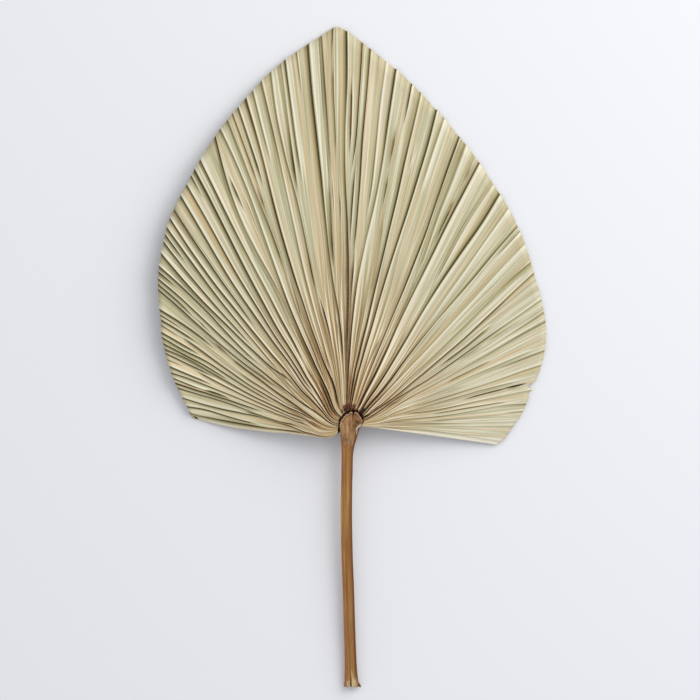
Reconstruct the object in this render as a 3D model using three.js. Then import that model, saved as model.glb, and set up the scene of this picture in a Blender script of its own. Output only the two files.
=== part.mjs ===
// Fan palm leaf: a dried, spade-cut leaf lying on its back, hastula side up.
// Millimetres, +Z up. The stalk runs towards -Y and the cut tip of the blade points to +Y.
// The origin is the middle of the leaf's bounding box, on the surface it lies on.
//
//   blade    one pleated sheet, folded like a fan round the head of the stalk
//   petiole  the woody stalk, cut at its foot, tapering out as a rib below the blade
//   hastula  the corky crest that covers the place where the blade springs from the stalk

import * as THREE from 'three';

// ---------------------------------------------------------------- driving dimensions

const HUB_X = -3.40;            // centre that the folds turn about
const HUB_Y = -70.8;
const HUB_HEIGHT = 27.5;        // middle of the pleats beside the stalk's head
const DROOP = 1.25;             // how the blade falls from the hub to its margin
const SHEET = 0.8;              // thickness of the sheet, measured upright
const SMOOTH = 2.5;             // degrees over which the pleats average out
const EASE = 0.05;              // share of the radius over which a short fold fades
const CLEAR = 0.4;              // free gap between neighbouring pieces

// Cut margin of the blade: angle from +Y, clockwise, in degrees, and radius from the hub.
const OUTLINE_T = [-88, -84, -78, -72, -66, -60, -54, -48, -42, -36, -30, -24, -18, -12, -7, -4, -1.6, 0.5, 4, 8, 14, 20, 26, 32, 38, 44, 50, 56, 62, 68, 74, 80, 86, 92, 95, 98];
const OUTLINE_R = [167.3, 172.6, 186.3, 200.5, 216.1, 230.5, 250.1, 267.7, 285.8, 301.3, 318.9, 339.5, 360.5, 384.6, 402.3, 413.1, 421.5, 412.4, 394.9, 377.6, 352, 329.8, 311.1, 294.8, 281.3, 267.5, 254.7, 244.6, 235.8, 225, 211.1, 196.3, 184.9, 172.1, 166.8, 158.3];

// Radius where the folds run in under the crest, at angles along the margin.
const ROOT_T = [-88, -80, -70, -60, -50, -40, -30, -20, -10, 0, 10, 20, 30, 40, 50, 60, 70, 80, 90, 98];
const ROOT_R = [16.6, 14.6, 13.5, 12.5, 11.4, 11.1, 10.7, 11.4, 12.6, 13.6, 15.1, 16.4, 16.8, 16.6, 16.1, 15.6, 14.6, 13.8, 13.1, 13];

// How far a fold has turned away from its angle at the margin, in degrees: one row for
// each share of the radius in BEND_F, one column for each angle in BEND_T.
const BEND_T = [-88, -80, -70, -60, -50, -40, -30, -20, -10, 0, 10, 20, 30, 40, 50, 60, 70, 80, 90, 98];
const BEND_F = [1, 0.9, 0.8, 0.7, 0.6, 0.5, 0.4, 0.3, 0.22, 0.15, 0.07];
const BEND = [
  [0, 0, 0, 0, 0, 0, 0, 0, 0, 0, 0, 0, 0, 0, 0, 0, 0, 0, 0, 0],
  [-1.2, -0.4, -0.4, -0.4, -0.4, -0.4, -0.3, -0.3, -0.2, -0.1, -0.1, 0, 0.1, 0.1, 0.1, 0.2, 0.1, 0.1, 0, 0],
  [-2.7, -1, -1.1, -1.1, -1.1, -1, -0.9, -0.7, -0.5, -0.3, -0.2, 0, 0.2, 0.3, 0.4, 0.4, 0.4, 0.3, 0, 0],
  [-4.2, -2, -2.2, -2.2, -2, -1.9, -1.6, -1.3, -0.9, -0.6, -0.2, 0.1, 0.4, 0.6, 0.7, 0.8, 0.7, 0.5, 0.1, 0],
  [-5.8, -3.6, -3.6, -3.5, -3.3, -2.9, -2.5, -1.9, -1.4, -0.9, -0.3, 0.2, 0.6, 0.9, 1.2, 1.2, 1.1, 0.8, 0.1, 0],
  [-8, -5.3, -5.6, -5.5, -5.1, -4.5, -3.6, -2.7, -1.8, -0.9, -0.1, 0.6, 1.1, 1.3, 1.5, 1.4, 1.3, 0.9, 0.3, 0],
  [-10.4, -8.2, -8, -7.6, -7, -6.1, -5.1, -3.9, -2.6, -1.3, -0.1, 1, 1.8, 2.3, 2.4, 1.9, 1.3, 0.8, 0.4, 0],
  [-15.5, -12.3, -12.6, -11.8, -10.4, -8.6, -6.6, -4.9, -3.4, -2, -0.5, 1.2, 2.9, 4.2, 4.5, 3.4, 1.6, 0.6, 0.4, 0],
  [-24, -23.3, -19.4, -17.1, -15.3, -13.1, -9.4, -5.7, -3.8, -2.8, -1.5, 0.9, 4.2, 7, 8, 6.6, 4, 2.2, 0.8, 0],
  [-36.6, -38, -36.2, -27.3, -21.8, -18.2, -14.1, -8.7, -3.8, -4.2, -3.5, 0.6, 5.6, 9.9, 12, 11.5, 9.6, 7.7, 2, 0],
  [-46, -48, -50, -50, -33, -33, -28, -16, -10, -12, -5, 2, 5, 12, 15, 17, 14.5, 10, 4, 2],
];

// Height of the middle of the pleats at the margin: the left side curls up off the surface.
const LIFT_T = [-88, -80, -70, -60, -45, -30, -18, -8, 0, 15, 40, 60, 80, 98];
const LIFT_Z = [3, 10, 15, 18, 19, 17, 11, 5, 3.2, 3, 3, 3, 3.6, 4];

// Folds. Angle at the margin, at 3/4, 1/2 and 1/4 of the radius; the shares of the radius
// where the fold starts and ends; rise across its steep face (negative: it falls
// clockwise); width of that face at the margin.
const FOLDS = [
  [-87.2, -86.8, -86.4, -88.2, 1, 0.4, 5, 3.5],
  [-80, -80.3, -79.7, -78.2, 1, 0.25, 4, 4],
  [-77.1, -76.9, -76.2, -76.6, 1, 0.29, 5.5, 4],
  [-75.7, -75.8, -75, -75, 1, 0.57, 6, 3],
  [-74.1, -73.8, -73.2, -72.5, 1, 0.22, 4.5, 4],
  [-70.5, -70.3, -70.7, -69.3, 1, 0.21, 4.5, 4],
  [-67.8, -67.7, -68.3, -66.5, 1, 0.21, 5.5, 3.5],
  [-65.3, -65.2, -65.2, -65.2, 1, 0.73, 7, 3],
  [-62.3, -62.5, -63.3, -61.6, 1, 0, 5.5, 4],
  [-58.9, -58.4, -58.5, -58.5, 1, 0.67, 6, 3.5],
  [-57.3, -56.9, -57.1, -56.2, 0.85, 0, 5.5, 6.5],
  [-55, -55.5, -54.9, -52.9, 1, 0.24, 8, 3.5],
  [-52.7, -52.7, -52.4, -50.3, 1, 0, 7.5, 3.5],
  [-50.3, -50, -50.3, -50, 1, 0.33, 7.5, 3.5],
  [-48.2, -48.7, -47.5, -45.7, 1, 0, 8, 5],
  [-45.8, -46.4, -45.8, -45.8, 1, 0.42, 8, 3.5],
  [-43.2, -44, -44, -43.4, 1, 0.22, 7.5, 4],
  [-42.1, -42.2, -41.5, -40.9, 0.91, 0, 8, 5],
  [-39.5, -39.9, -39.4, -39.4, 1, 0.25, 8, 3.5],
  [-38.5, -38.8, -38.4, -38.3, 1, 0.41, 3.5, 3],
  [-36.8, -37.2, -37.1, -36.7, 1, 0, 7.5, 4.5],
  [-34.4, -34.7, -34.6, -34.3, 1, 0, 8, 6],
  [-31.6, -31.8, -31.8, -31.8, 1, 0, 8, 7],
  [-29.7, -29.5, -28.7, -28.6, 1, 0, 6.5, 7],
  [-26.9, -27.2, -25.2, -24.4, 1, 0.35, 5.5, 8.5],
  [-24.4, -23.9, -23.1, -23.3, 0.89, 0, 5.5, 6],
  [-20.7, -20.2, -20, -20.2, 1, 0, 5, 9],
  [-17.8, -17.7, -17.8, -17.2, 1, 0, 7.5, 7.5],
  [-14.6, -14.2, -14.2, -13.4, 1, 0.18, 5.5, 8],
  [-11.1, -11.5, -11.7, -10.9, 1, 0, 6, 9],
  [-10.1, -10.3, -8.9, -8.3, 1, 0.31, 4, 8],
  [-6.3, -6.1, -4.9, -4.9, 1, 0.51, 8, 6],
  [-5.2, -5, -3.9, -3.4, 1, 0.36, 4, 7.5],
  [-4.2, -3.7, -2.9, -2, 1, 0.3, 5, 4.5],
  [-2.8, -2.3, -1.4, -0.4, 1, 0.33, 5, 4.5],
  [-2.2, -1.2, 0.2, 0.2, 1, 0.38, 7, 4.5],
  [-0.6, -0.2, -0.1, -0.1, 1, 0.66, 6.5, 7],
  [0.5, 0.6, 0.5, 0.5, 1, 0.55, 7.5, 4],
  [1.8, 1.7, 1.2, 0.9, 1, 0.29, 7, 3.5],
  [3, 3, 2.5, 1.8, 1, 0.25, 6.5, 6],
  [4.4, 4.4, 4.4, 3.2, 0.47, 0, 7, 7],
  [7.3, 7.2, 6, 4.6, 1, 0, 6, 5],
  [9, 9, 8.7, 7.7, 0.79, 0, 5, 9],
  [10.3, 10.3, 9.9, 9.6, 1, 0.42, 3, 4.5],
  [12, 11.9, 11.3, 10.1, 1, 0, 8, 6.5],
  [15.5, 15.4, 13.9, 12.8, 1, 0, 8, 6.5],
  [18.4, 18.6, 17.7, 16.6, 1, 0, 3, 9],
  [20.8, 21.2, 21.2, 20.1, 1, 0, 6.5, 5.5],
  [22.4, 22.8, 23.3, 22.4, 1, 0, 3.5, 6.5],
  [24.3, 24.3, 24.3, 24.5, 0.43, 0, 8, 8.5],
  [26.2, 25.8, 25.2, 25.1, 1, 0.41, 6.5, 4.5],
  [31.8, 31.8, 31.6, 31.1, 0.71, 0, 8, 8],
  [33.1, 32.7, 32.6, 32.6, 1, 0.5, 8, 5.5],
  [36.2, 36.2, 36.2, 35.8, 1, 0.38, 5.5, 4],
  [39, 38.8, 38.3, 37, 0.8, 0, 6, 8.5],
  [40.3, 39.8, 39.4, 39.2, 1, 0.46, 7.5, 3.5],
  [42.3, 42.1, 42, 40.2, 0.93, 0, 4, 5],
  [44, 43.9, 43.9, 42.8, 1, 0.29, 5, 4.5],
  [47.6, 47.5, 47.7, 47.4, 1, 0.3, -4, 8.5],
  [48.6, 48.5, 49.6, 48.3, 1, 0, -6, 6.5],
  [51.1, 51.8, 53, 52, 1, 0, -8, 4],
  [57.4, 57.4, 58.2, 57.4, 1, 0.27, -6, 3.5],
  [60.4, 60.8, 61.1, 60.9, 1, 0.3, -4, 3.5],
  [62.6, 62.7, 63.2, 63.6, 1, 0.3, -5.5, 3.5],
  [65.8, 65.7, 65.9, 66.2, 1, 0.31, -4, 4.5],
  [73.2, 73.3, 73.3, 74.2, 1, 0.31, -5, 4.5],
  [75.6, 75.4, 75.5, 77.4, 0.91, 0.25, -5.5, 4],
  [77.3, 77, 77.8, 78.4, 1, 0.39, -5.5, 3.5],
  [79.7, 79.7, 80.1, 80.6, 1, 0.35, -6, 4],
  [83.7, 83.2, 84.7, 85.2, 1, 0.24, -5.5, 3.5],
  [89.7, 90, 89.6, 90.4, 1, 0.28, -4.5, 3.5],
  [93.2, 92.8, 91.9, 94.1, 1, 0.42, -4, 4],
  [96.9, 96.4, 95, 95.8, 1, 0.26, -4, 4],
];

// Rows from the hub to the margin, as shares of the way.
const ROWS = [0, 0.035, 0.08, 0.14, 0.22, 0.33, 0.48, 0.65, 0.83, 1];

// Stalk, from the foot to the end of its rib: x, y, height of the middle, width, depth.
const STALK = [
  [-0.8, -350.4, 3.95, 15.6, 8.2],
  [-0.8, -346.8, 4.15, 15.2, 8.6],
  [-1.3, -333.8, 4.7, 12.8, 8.8],
  [-1.9, -313.8, 5.7, 11.8, 8.8],
  [-3, -282.8, 7.3, 11.6, 8.9],
  [-4.1, -245.8, 9, 11.6, 9],
  [-5.5, -205.8, 10.9, 11.6, 9],
  [-6, -155.8, 13.4, 11.4, 9.1],
  [-5.5, -123.8, 15.1, 11.5, 9.2],
  [-4.7, -95.8, 16.6, 13, 9.5],
  [-3.4, -83.8, 17.2, 17, 9.8],
  [-2, -71.8, 17.6, 20, 9.4],
  [-2.4, -55.8, 17.4, 15, 7.6],
  [-3.2, -35.8, 16, 9, 4.8],
  [-3.6, -13.8, 13.6, 4, 2.2],
];
const STALK_SIDES = 14;

// Crest outline, clockwise from its lowest point: x, y.
const CREST = [
  [-7.8, -94], [-10.8, -86.8], [-12.2, -80.8], [-13.1, -75.8], [-13.1, -71.3],
  [-12, -67.3], [-10, -64.6], [-6.6, -60.6], [-3.9, -60], [-1.2, -57.4],
  [0.7, -59.4], [2.8, -58], [4.9, -58], [7.5, -62], [10.2, -65.3],
  [10.4, -69.4], [8.2, -71.2], [4.4, -73.6], [3.8, -78.4], [2.4, -85.8], [0.4, -92.4],
];
const CREST_FOOT = 22.9;        // underside of the crest
const CREST_RISE = 10.2;        // height of the crest at its thickest
const CREST_X = -1.8;           // where it is thickest
const CREST_Y = -69.3;

// ---------------------------------------------------------------- helpers

// Smooth curve through a table of values.
function curve(xs, ys, x) {
  const n = xs.length;
  let i = 0;
  while (i < n - 2 && x > xs[i + 1]) i++;
  const slope = (a) => (ys[a + 1] - ys[a]) / (xs[a + 1] - xs[a]);
  const tangent = (k) => {
    if (k === 0) return slope(0);
    if (k === n - 1) return slope(n - 2);
    const before = xs[k] - xs[k - 1], after = xs[k + 1] - xs[k];
    return (slope(k - 1) * after + slope(k) * before) / (before + after);
  };
  const h = xs[i + 1] - xs[i];
  const u = Math.min(1, Math.max(0, (x - xs[i]) / h));
  const u2 = u * u, u3 = u2 * u;
  return (2 * u3 - 3 * u2 + 1) * ys[i] + (u3 - 2 * u2 + u) * h * tangent(i)
    + (3 * u2 - 2 * u3) * ys[i + 1] + (u3 - u2) * h * tangent(i + 1);
}

// Straight-line reading of a table whose keys rise.
function line(xs, ys, x) {
  if (x <= xs[0]) return ys[0];
  for (let i = 1; i < xs.length; i++)
    if (x <= xs[i]) return ys[i - 1] + (ys[i] - ys[i - 1]) * (x - xs[i - 1]) / (xs[i] - xs[i - 1]);
  return ys[xs.length - 1];
}

const radians = (degrees) => degrees * Math.PI / 180;
const smoothstep = (a, b, x) => {
  const u = Math.min(1, Math.max(0, (x - a) / (b - a)));
  return u * u * (3 - 2 * u);
};
// Area under the bell curve, to four decimals.
const bellArea = (x) => 1 / (1 + Math.exp(-1.5976 * x - 0.07056 * x * x * x));

// A closed body from rings of points, each ring the same length, capped at both ends.
function loft(rings) {
  const sides = rings[0].length;
  const position = rings.flat(2);
  const index = [];
  for (let r = 0; r + 1 < rings.length; r++)
    for (let s = 0; s < sides; s++) {
      const a = r * sides + s, b = r * sides + (s + 1) % sides;
      index.push(a, b, b + sides, a, b + sides, a + sides);
    }
  for (const [row, turned] of [[0, true], [rings.length - 1, false]]) {
    const middle = position.length / 3;
    const ring = rings[row];
    for (let k = 0; k < 3; k++)
      position.push(ring.reduce((sum, p) => sum + p[k], 0) / sides);
    for (let s = 0; s < sides; s++) {
      const a = row * sides + s, b = row * sides + (s + 1) % sides;
      if (turned) index.push(middle, b, a); else index.push(middle, a, b);
    }
  }
  return solid(position, index);
}

function solid(position, index) {
  const geometry = new THREE.BufferGeometry();
  geometry.setAttribute('position', new THREE.Float32BufferAttribute(position, 3));
  geometry.setIndex(index);
  geometry.computeVertexNormals();
  return geometry;
}

// ---------------------------------------------------------------- blade

const FIRST = OUTLINE_T[0], LAST = OUTLINE_T[OUTLINE_T.length - 1];
const reach = (t) => curve(OUTLINE_T, OUTLINE_R, t);
const root = (t) => curve(ROOT_T, ROOT_R, t);
const bendRow = (row, t) => line(BEND_T, BEND[row], t);
const BEND_RISING = BEND_F.slice().reverse();
function bend(t, f) {
  const values = BEND_F.map((_, row) => bendRow(row, t)).reverse();
  return line(BEND_RISING, values, f);
}
const share = (t, row) => { const a = root(t), b = reach(t); return (a + (b - a) * row) / b; };

// Angle of a fold, at a share f of the radius.
const foldAngle = (fold, f) => line([0.25, 0.5, 0.75, 1], [fold[3], fold[2], fold[1], fold[0]], f);
const presence = (fold, f) => smoothstep(fold[5] - EASE, fold[5] + EASE, f)
  * (fold[4] >= 1 ? 1 : 1 - smoothstep(fold[4] - EASE, fold[4] + EASE, f));
const rise = (fold, f) => fold[6] * presence(fold, f) * (0.4 + 0.6 * smoothstep(0.04, 0.32, f));
// Width of the steep face, in degrees.
const faceWidth = (fold, f) => fold[7] / radians(1) / reach(fold[0]) * (1 + 0.9 * (1 - f));

// Edges of the steep faces on one row, kept in order and apart.
function edgesOn(row) {
  const edges = [];
  for (const fold of FOLDS) {
    const f = share(fold[0], row);
    const middle = foldAngle(fold, f), half = faceWidth(fold, f) / 2;
    edges.push(middle - half, middle + half);
  }
  const least = 0.22;
  for (let pass = 0; pass < 60; pass++)
    for (let i = 1; i < edges.length; i++) {
      const short = least - (edges[i] - edges[i - 1]);
      if (short > 0) { edges[i] += short / 2; edges[i - 1] -= short / 2; }
    }
  for (let i = 0; i < edges.length; i++) {
    edges[i] = Math.max(edges[i], FIRST + least * (i + 1));
    edges[i] = Math.min(edges[i], LAST - least * (edges.length - i));
  }
  return edges;
}

function pleat(t, row, edges) {
  let z = 0;
  FOLDS.forEach((fold, k) => {
    const f = share(fold[0], row);
    const h = rise(fold, f), a = edges[2 * k], b = edges[2 * k + 1];
    z += h * Math.min(1, Math.max(0, (t - a) / (b - a)));
    z -= h * bellArea((t - (a + b) / 2) / SMOOTH);
  });
  return z;
}

function makeBlade() {
  const columns = 2 * FOLDS.length + 2;
  const top = [], under = [];
  for (const row of ROWS) {
    const edges = edgesOn(row);
    const angles = [FIRST, ...edges, LAST];
    for (const t of angles) {
      const r = root(t) + (reach(t) - root(t)) * row;
      const turn = radians(t + bend(t, r / reach(t)));
      const lift = curve(LIFT_T, LIFT_Z, t);
      const z = Math.max(SHEET, lift + (HUB_HEIGHT - lift) * Math.pow(1 - row, DROOP) + pleat(t, row, edges));
      const x = HUB_X + r * Math.sin(turn), y = HUB_Y + r * Math.cos(turn);
      top.push(x, y, z);
      under.push(x, y, z - SHEET);
    }
  }
  const count = top.length / 3;
  const index = [];
  const quad = (a, b, c, d) => index.push(a, b, c, a, c, d);
  for (let r = 0; r + 1 < ROWS.length; r++)
    for (let c = 0; c + 1 < columns; c++) {
      const a = r * columns + c, b = a + 1, d = a + columns, e = d + 1;
      quad(a, b, e, d);
      quad(count + a, count + d, count + e, count + b);
    }
  const rim = [];
  for (let c = 0; c < columns - 1; c++) rim.push(c);
  for (let r = 0; r < ROWS.length - 1; r++) rim.push(r * columns + columns - 1);
  for (let c = columns - 1; c > 0; c--) rim.push((ROWS.length - 1) * columns + c);
  for (let r = ROWS.length - 1; r > 0; r--) rim.push(r * columns);
  rim.forEach((a, i) => {
    const b = rim[(i + 1) % rim.length];
    quad(a, count + a, count + b, b);
  });


  return solid([...top, ...under], index);
}

// ---------------------------------------------------------------- petiole

function makePetiole() {
  const rings = STALK.map(([x, y, z, width, depth]) => {
    const ring = [];
    for (let s = 0; s < STALK_SIDES; s++) {
      const a = 2 * Math.PI * s / STALK_SIDES;
      // flattish above, full below
      const up = Math.sin(a) > 0 ? 0.5 * Math.pow(Math.sin(a), 0.6) : 0.5 * Math.sin(a);
      ring.push([x + width / 2 * Math.cos(a), y, Math.max(0, z + depth * up)]);
    }
    return ring;
  });
  return loft(rings.map((ring) => ring.slice().reverse()));
}

// ---------------------------------------------------------------- hastula

function makeHastula() {
  const floor = CREST.map(([x, y]) => [x, y, CREST_FOOT]);
  const rings = [floor];
  for (const [inward, up] of [[0, 0.3], [0.16, 0.66], [0.42, 0.92], [0.72, 1]])
    rings.push(CREST.map(([x, y]) => {
      const low = smoothstep(-96, -74, y);      // the crest thins out down the stalk
      return [
        x + (CREST_X - x) * inward,
        y + (CREST_Y - y) * inward,
        CREST_FOOT + CREST_RISE * up * (0.28 + 0.72 * low),
      ];
    }));
  return loft(rings.map((ring) => ring.slice().reverse()));
}

// ---------------------------------------------------------------- the leaf

const leaf = new THREE.Group();
leaf.name = 'fan_palm_leaf';

const blade = new THREE.Mesh(makeBlade(),
  new THREE.MeshStandardMaterial({ color: 0xcbc8a4, roughness: 0.72, metalness: 0 }));
blade.name = 'blade';

const petiole = new THREE.Mesh(makePetiole(),
  new THREE.MeshStandardMaterial({ color: 0x8f6638, roughness: 0.6, metalness: 0 }));
petiole.name = 'petiole';

const hastula = new THREE.Mesh(makeHastula(),
  new THREE.MeshStandardMaterial({ color: 0x9a734b, roughness: 0.85, metalness: 0 }));
hastula.name = 'hastula';

leaf.add(blade, petiole, hastula);

export default leaf;
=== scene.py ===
# Looks of a dried fan palm leaf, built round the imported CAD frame. Metres, +Z up.
import math

import bmesh
import bpy
import numpy as np
from mathutils import Matrix, Vector


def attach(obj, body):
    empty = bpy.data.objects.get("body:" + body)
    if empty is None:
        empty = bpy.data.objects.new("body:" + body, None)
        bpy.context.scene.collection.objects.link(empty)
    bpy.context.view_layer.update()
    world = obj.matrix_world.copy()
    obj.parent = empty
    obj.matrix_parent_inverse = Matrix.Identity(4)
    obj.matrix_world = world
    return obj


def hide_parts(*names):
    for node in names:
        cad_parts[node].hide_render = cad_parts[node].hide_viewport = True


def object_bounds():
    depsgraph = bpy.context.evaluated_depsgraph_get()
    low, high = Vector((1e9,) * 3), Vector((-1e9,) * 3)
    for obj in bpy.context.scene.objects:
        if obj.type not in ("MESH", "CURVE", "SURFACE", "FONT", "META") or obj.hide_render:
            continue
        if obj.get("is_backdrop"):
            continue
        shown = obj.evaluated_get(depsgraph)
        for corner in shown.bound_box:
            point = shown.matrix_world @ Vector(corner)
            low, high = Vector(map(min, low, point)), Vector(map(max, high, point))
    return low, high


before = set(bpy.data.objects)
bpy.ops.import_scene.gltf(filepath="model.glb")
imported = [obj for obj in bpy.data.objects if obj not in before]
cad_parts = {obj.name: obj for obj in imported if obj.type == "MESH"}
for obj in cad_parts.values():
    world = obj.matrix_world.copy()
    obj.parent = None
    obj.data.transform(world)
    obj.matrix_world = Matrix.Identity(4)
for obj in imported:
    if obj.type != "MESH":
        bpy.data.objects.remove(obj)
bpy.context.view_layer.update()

rng = np.random.default_rng(7)
MM = 0.001

# ------------------------------------------------------------------ design tables, in mm and degrees
# (the same as the CAD source's: angles are measured clockwise from +Y about the hub)

HUB_X, HUB_Y = -3.40, -70.8
HUB_HEIGHT = 27.5
DROOP = 1.25
SHEET = 0.5
SMOOTH = 2.5
ROOT_T = [-88, -80, -70, -60, -50, -40, -30, -20, -10, 0, 10, 20, 30, 40, 50, 60, 70, 80, 90, 98]
ROOT_R = [16.6, 14.6, 13.5, 12.5, 11.4, 11.1, 10.7, 11.4, 12.6, 13.6, 15.1, 16.4, 16.8, 16.6, 16.1, 15.6, 14.6, 13.8, 13.1, 13.0]
LIFT_T = [-88, -80, -70, -60, -45, -30, -18, -8, 0, 15, 40, 60, 80, 98]
LIFT_Z = [3.0, 10, 15, 18, 19, 17, 11, 5, 3.2, 3.0, 3.0, 3.0, 3.6, 4.0]
# Folds: angle at each station (shares of the radius, margin first); share where the fold starts and
# ends; rise across its steep face at 0.85, 0.5 and 0.2 (negative: it falls clockwise); width of
# that face at 0.8 and 0.2.
STATIONS = [1, 0.87, 0.74, 0.61, 0.48, 0.36, 0.26, 0.18, 0.11]
RELIEF = 1.0
OUTLINE_T = [-88, -84, -78, -72, -66, -60, -54, -48, -42, -36, -30, -24, -18, -12, -7, -4, -1.6, 0.5, 4, 8, 14, 20, 26, 32, 38, 44, 50, 56, 62, 68, 74, 80, 86, 92, 95, 98]
OUTLINE_R = [167.3, 172.6, 186.3, 200.5, 216.1, 230.5, 250.1, 267.7, 285.8, 301.3, 318.9, 339.5, 360.5, 384.6, 402.3, 413.1, 421.5, 412.4, 394.9, 377.6, 352, 329.8, 311.1, 294.8, 281.3, 267.5, 254.7, 244.6, 235.8, 225, 211.1, 196.3, 184.9, 172.1, 166.8, 158.3]
BEND_T = [-88, -80, -70, -60, -50, -40, -30, -20, -10, 0, 10, 20, 30, 40, 50, 60, 70, 80, 90, 98]
BEND_F = [1, 0.9, 0.8, 0.7, 0.6, 0.5, 0.4, 0.3, 0.22, 0.15, 0.11, 0.05]
BEND = [
    [0, 0, 0, 0, 0, 0, 0, 0, 0, 0, 0, 0, 0, 0, 0, 0, 0, 0, 0, 0],
    [-1.2, -0.4, -0.4, -0.4, -0.4, -0.4, -0.3, -0.3, -0.2, -0.1, -0.1, 0, 0.1, 0.1, 0.1, 0.2, 0.1, 0.1, 0, 0],
    [-2.7, -1, -1.1, -1.1, -1.1, -1, -0.9, -0.7, -0.5, -0.3, -0.2, 0, 0.2, 0.3, 0.4, 0.4, 0.4, 0.3, 0, 0],
    [-4.2, -2, -2.2, -2.2, -2, -1.9, -1.6, -1.3, -0.9, -0.6, -0.2, 0.1, 0.4, 0.6, 0.7, 0.8, 0.7, 0.5, 0.1, 0],
    [-5.8, -3.6, -3.6, -3.5, -3.3, -2.9, -2.5, -1.9, -1.4, -0.9, -0.3, 0.2, 0.6, 0.9, 1.2, 1.2, 1.1, 0.8, 0.1, 0],
    [-8, -5.3, -5.6, -5.5, -5.1, -4.5, -3.6, -2.7, -1.8, -0.9, -0.1, 0.6, 1.1, 1.3, 1.5, 1.4, 1.3, 0.9, 0.3, 0],
    [-10.4, -8.2, -8, -7.6, -7, -6.1, -5.1, -3.9, -2.6, -1.3, -0.1, 1, 1.8, 2.3, 2.4, 1.9, 1.3, 0.8, 0.4, 0],
    [-15.5, -12.3, -12.6, -11.8, -10.4, -8.6, -6.6, -4.9, -3.4, -2, -0.5, 1.2, 2.9, 4.2, 4.5, 3.4, 1.6, 0.6, 0.4, 0],
    [-24, -23.3, -19.4, -17.1, -15.3, -13.1, -9.4, -5.7, -3.8, -2.8, -1.5, 0.9, 4.2, 7, 8, 6.6, 4, 2.2, 0.8, 0],
    [-36.6, -38, -36.2, -27.3, -21.8, -18.2, -14.1, -8.7, -4.6, -3.8, -2.2, 0.9, 5.6, 9.9, 12, 11.5, 9.6, 7.7, 2, 0],
    [-41, -43, -42, -37, -29, -25.6, -21, -12.8, -6.8, -4.6, -2.4, 1.5, 6.6, 11.5, 13.8, 14.2, 12, 8.8, 3, 1],
    [-46, -49, -51, -52, -50, -48, -42, -27, -15, -9, -5, 2, 10, 19, 23, 23, 18, 12, 7, 3],
]
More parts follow.
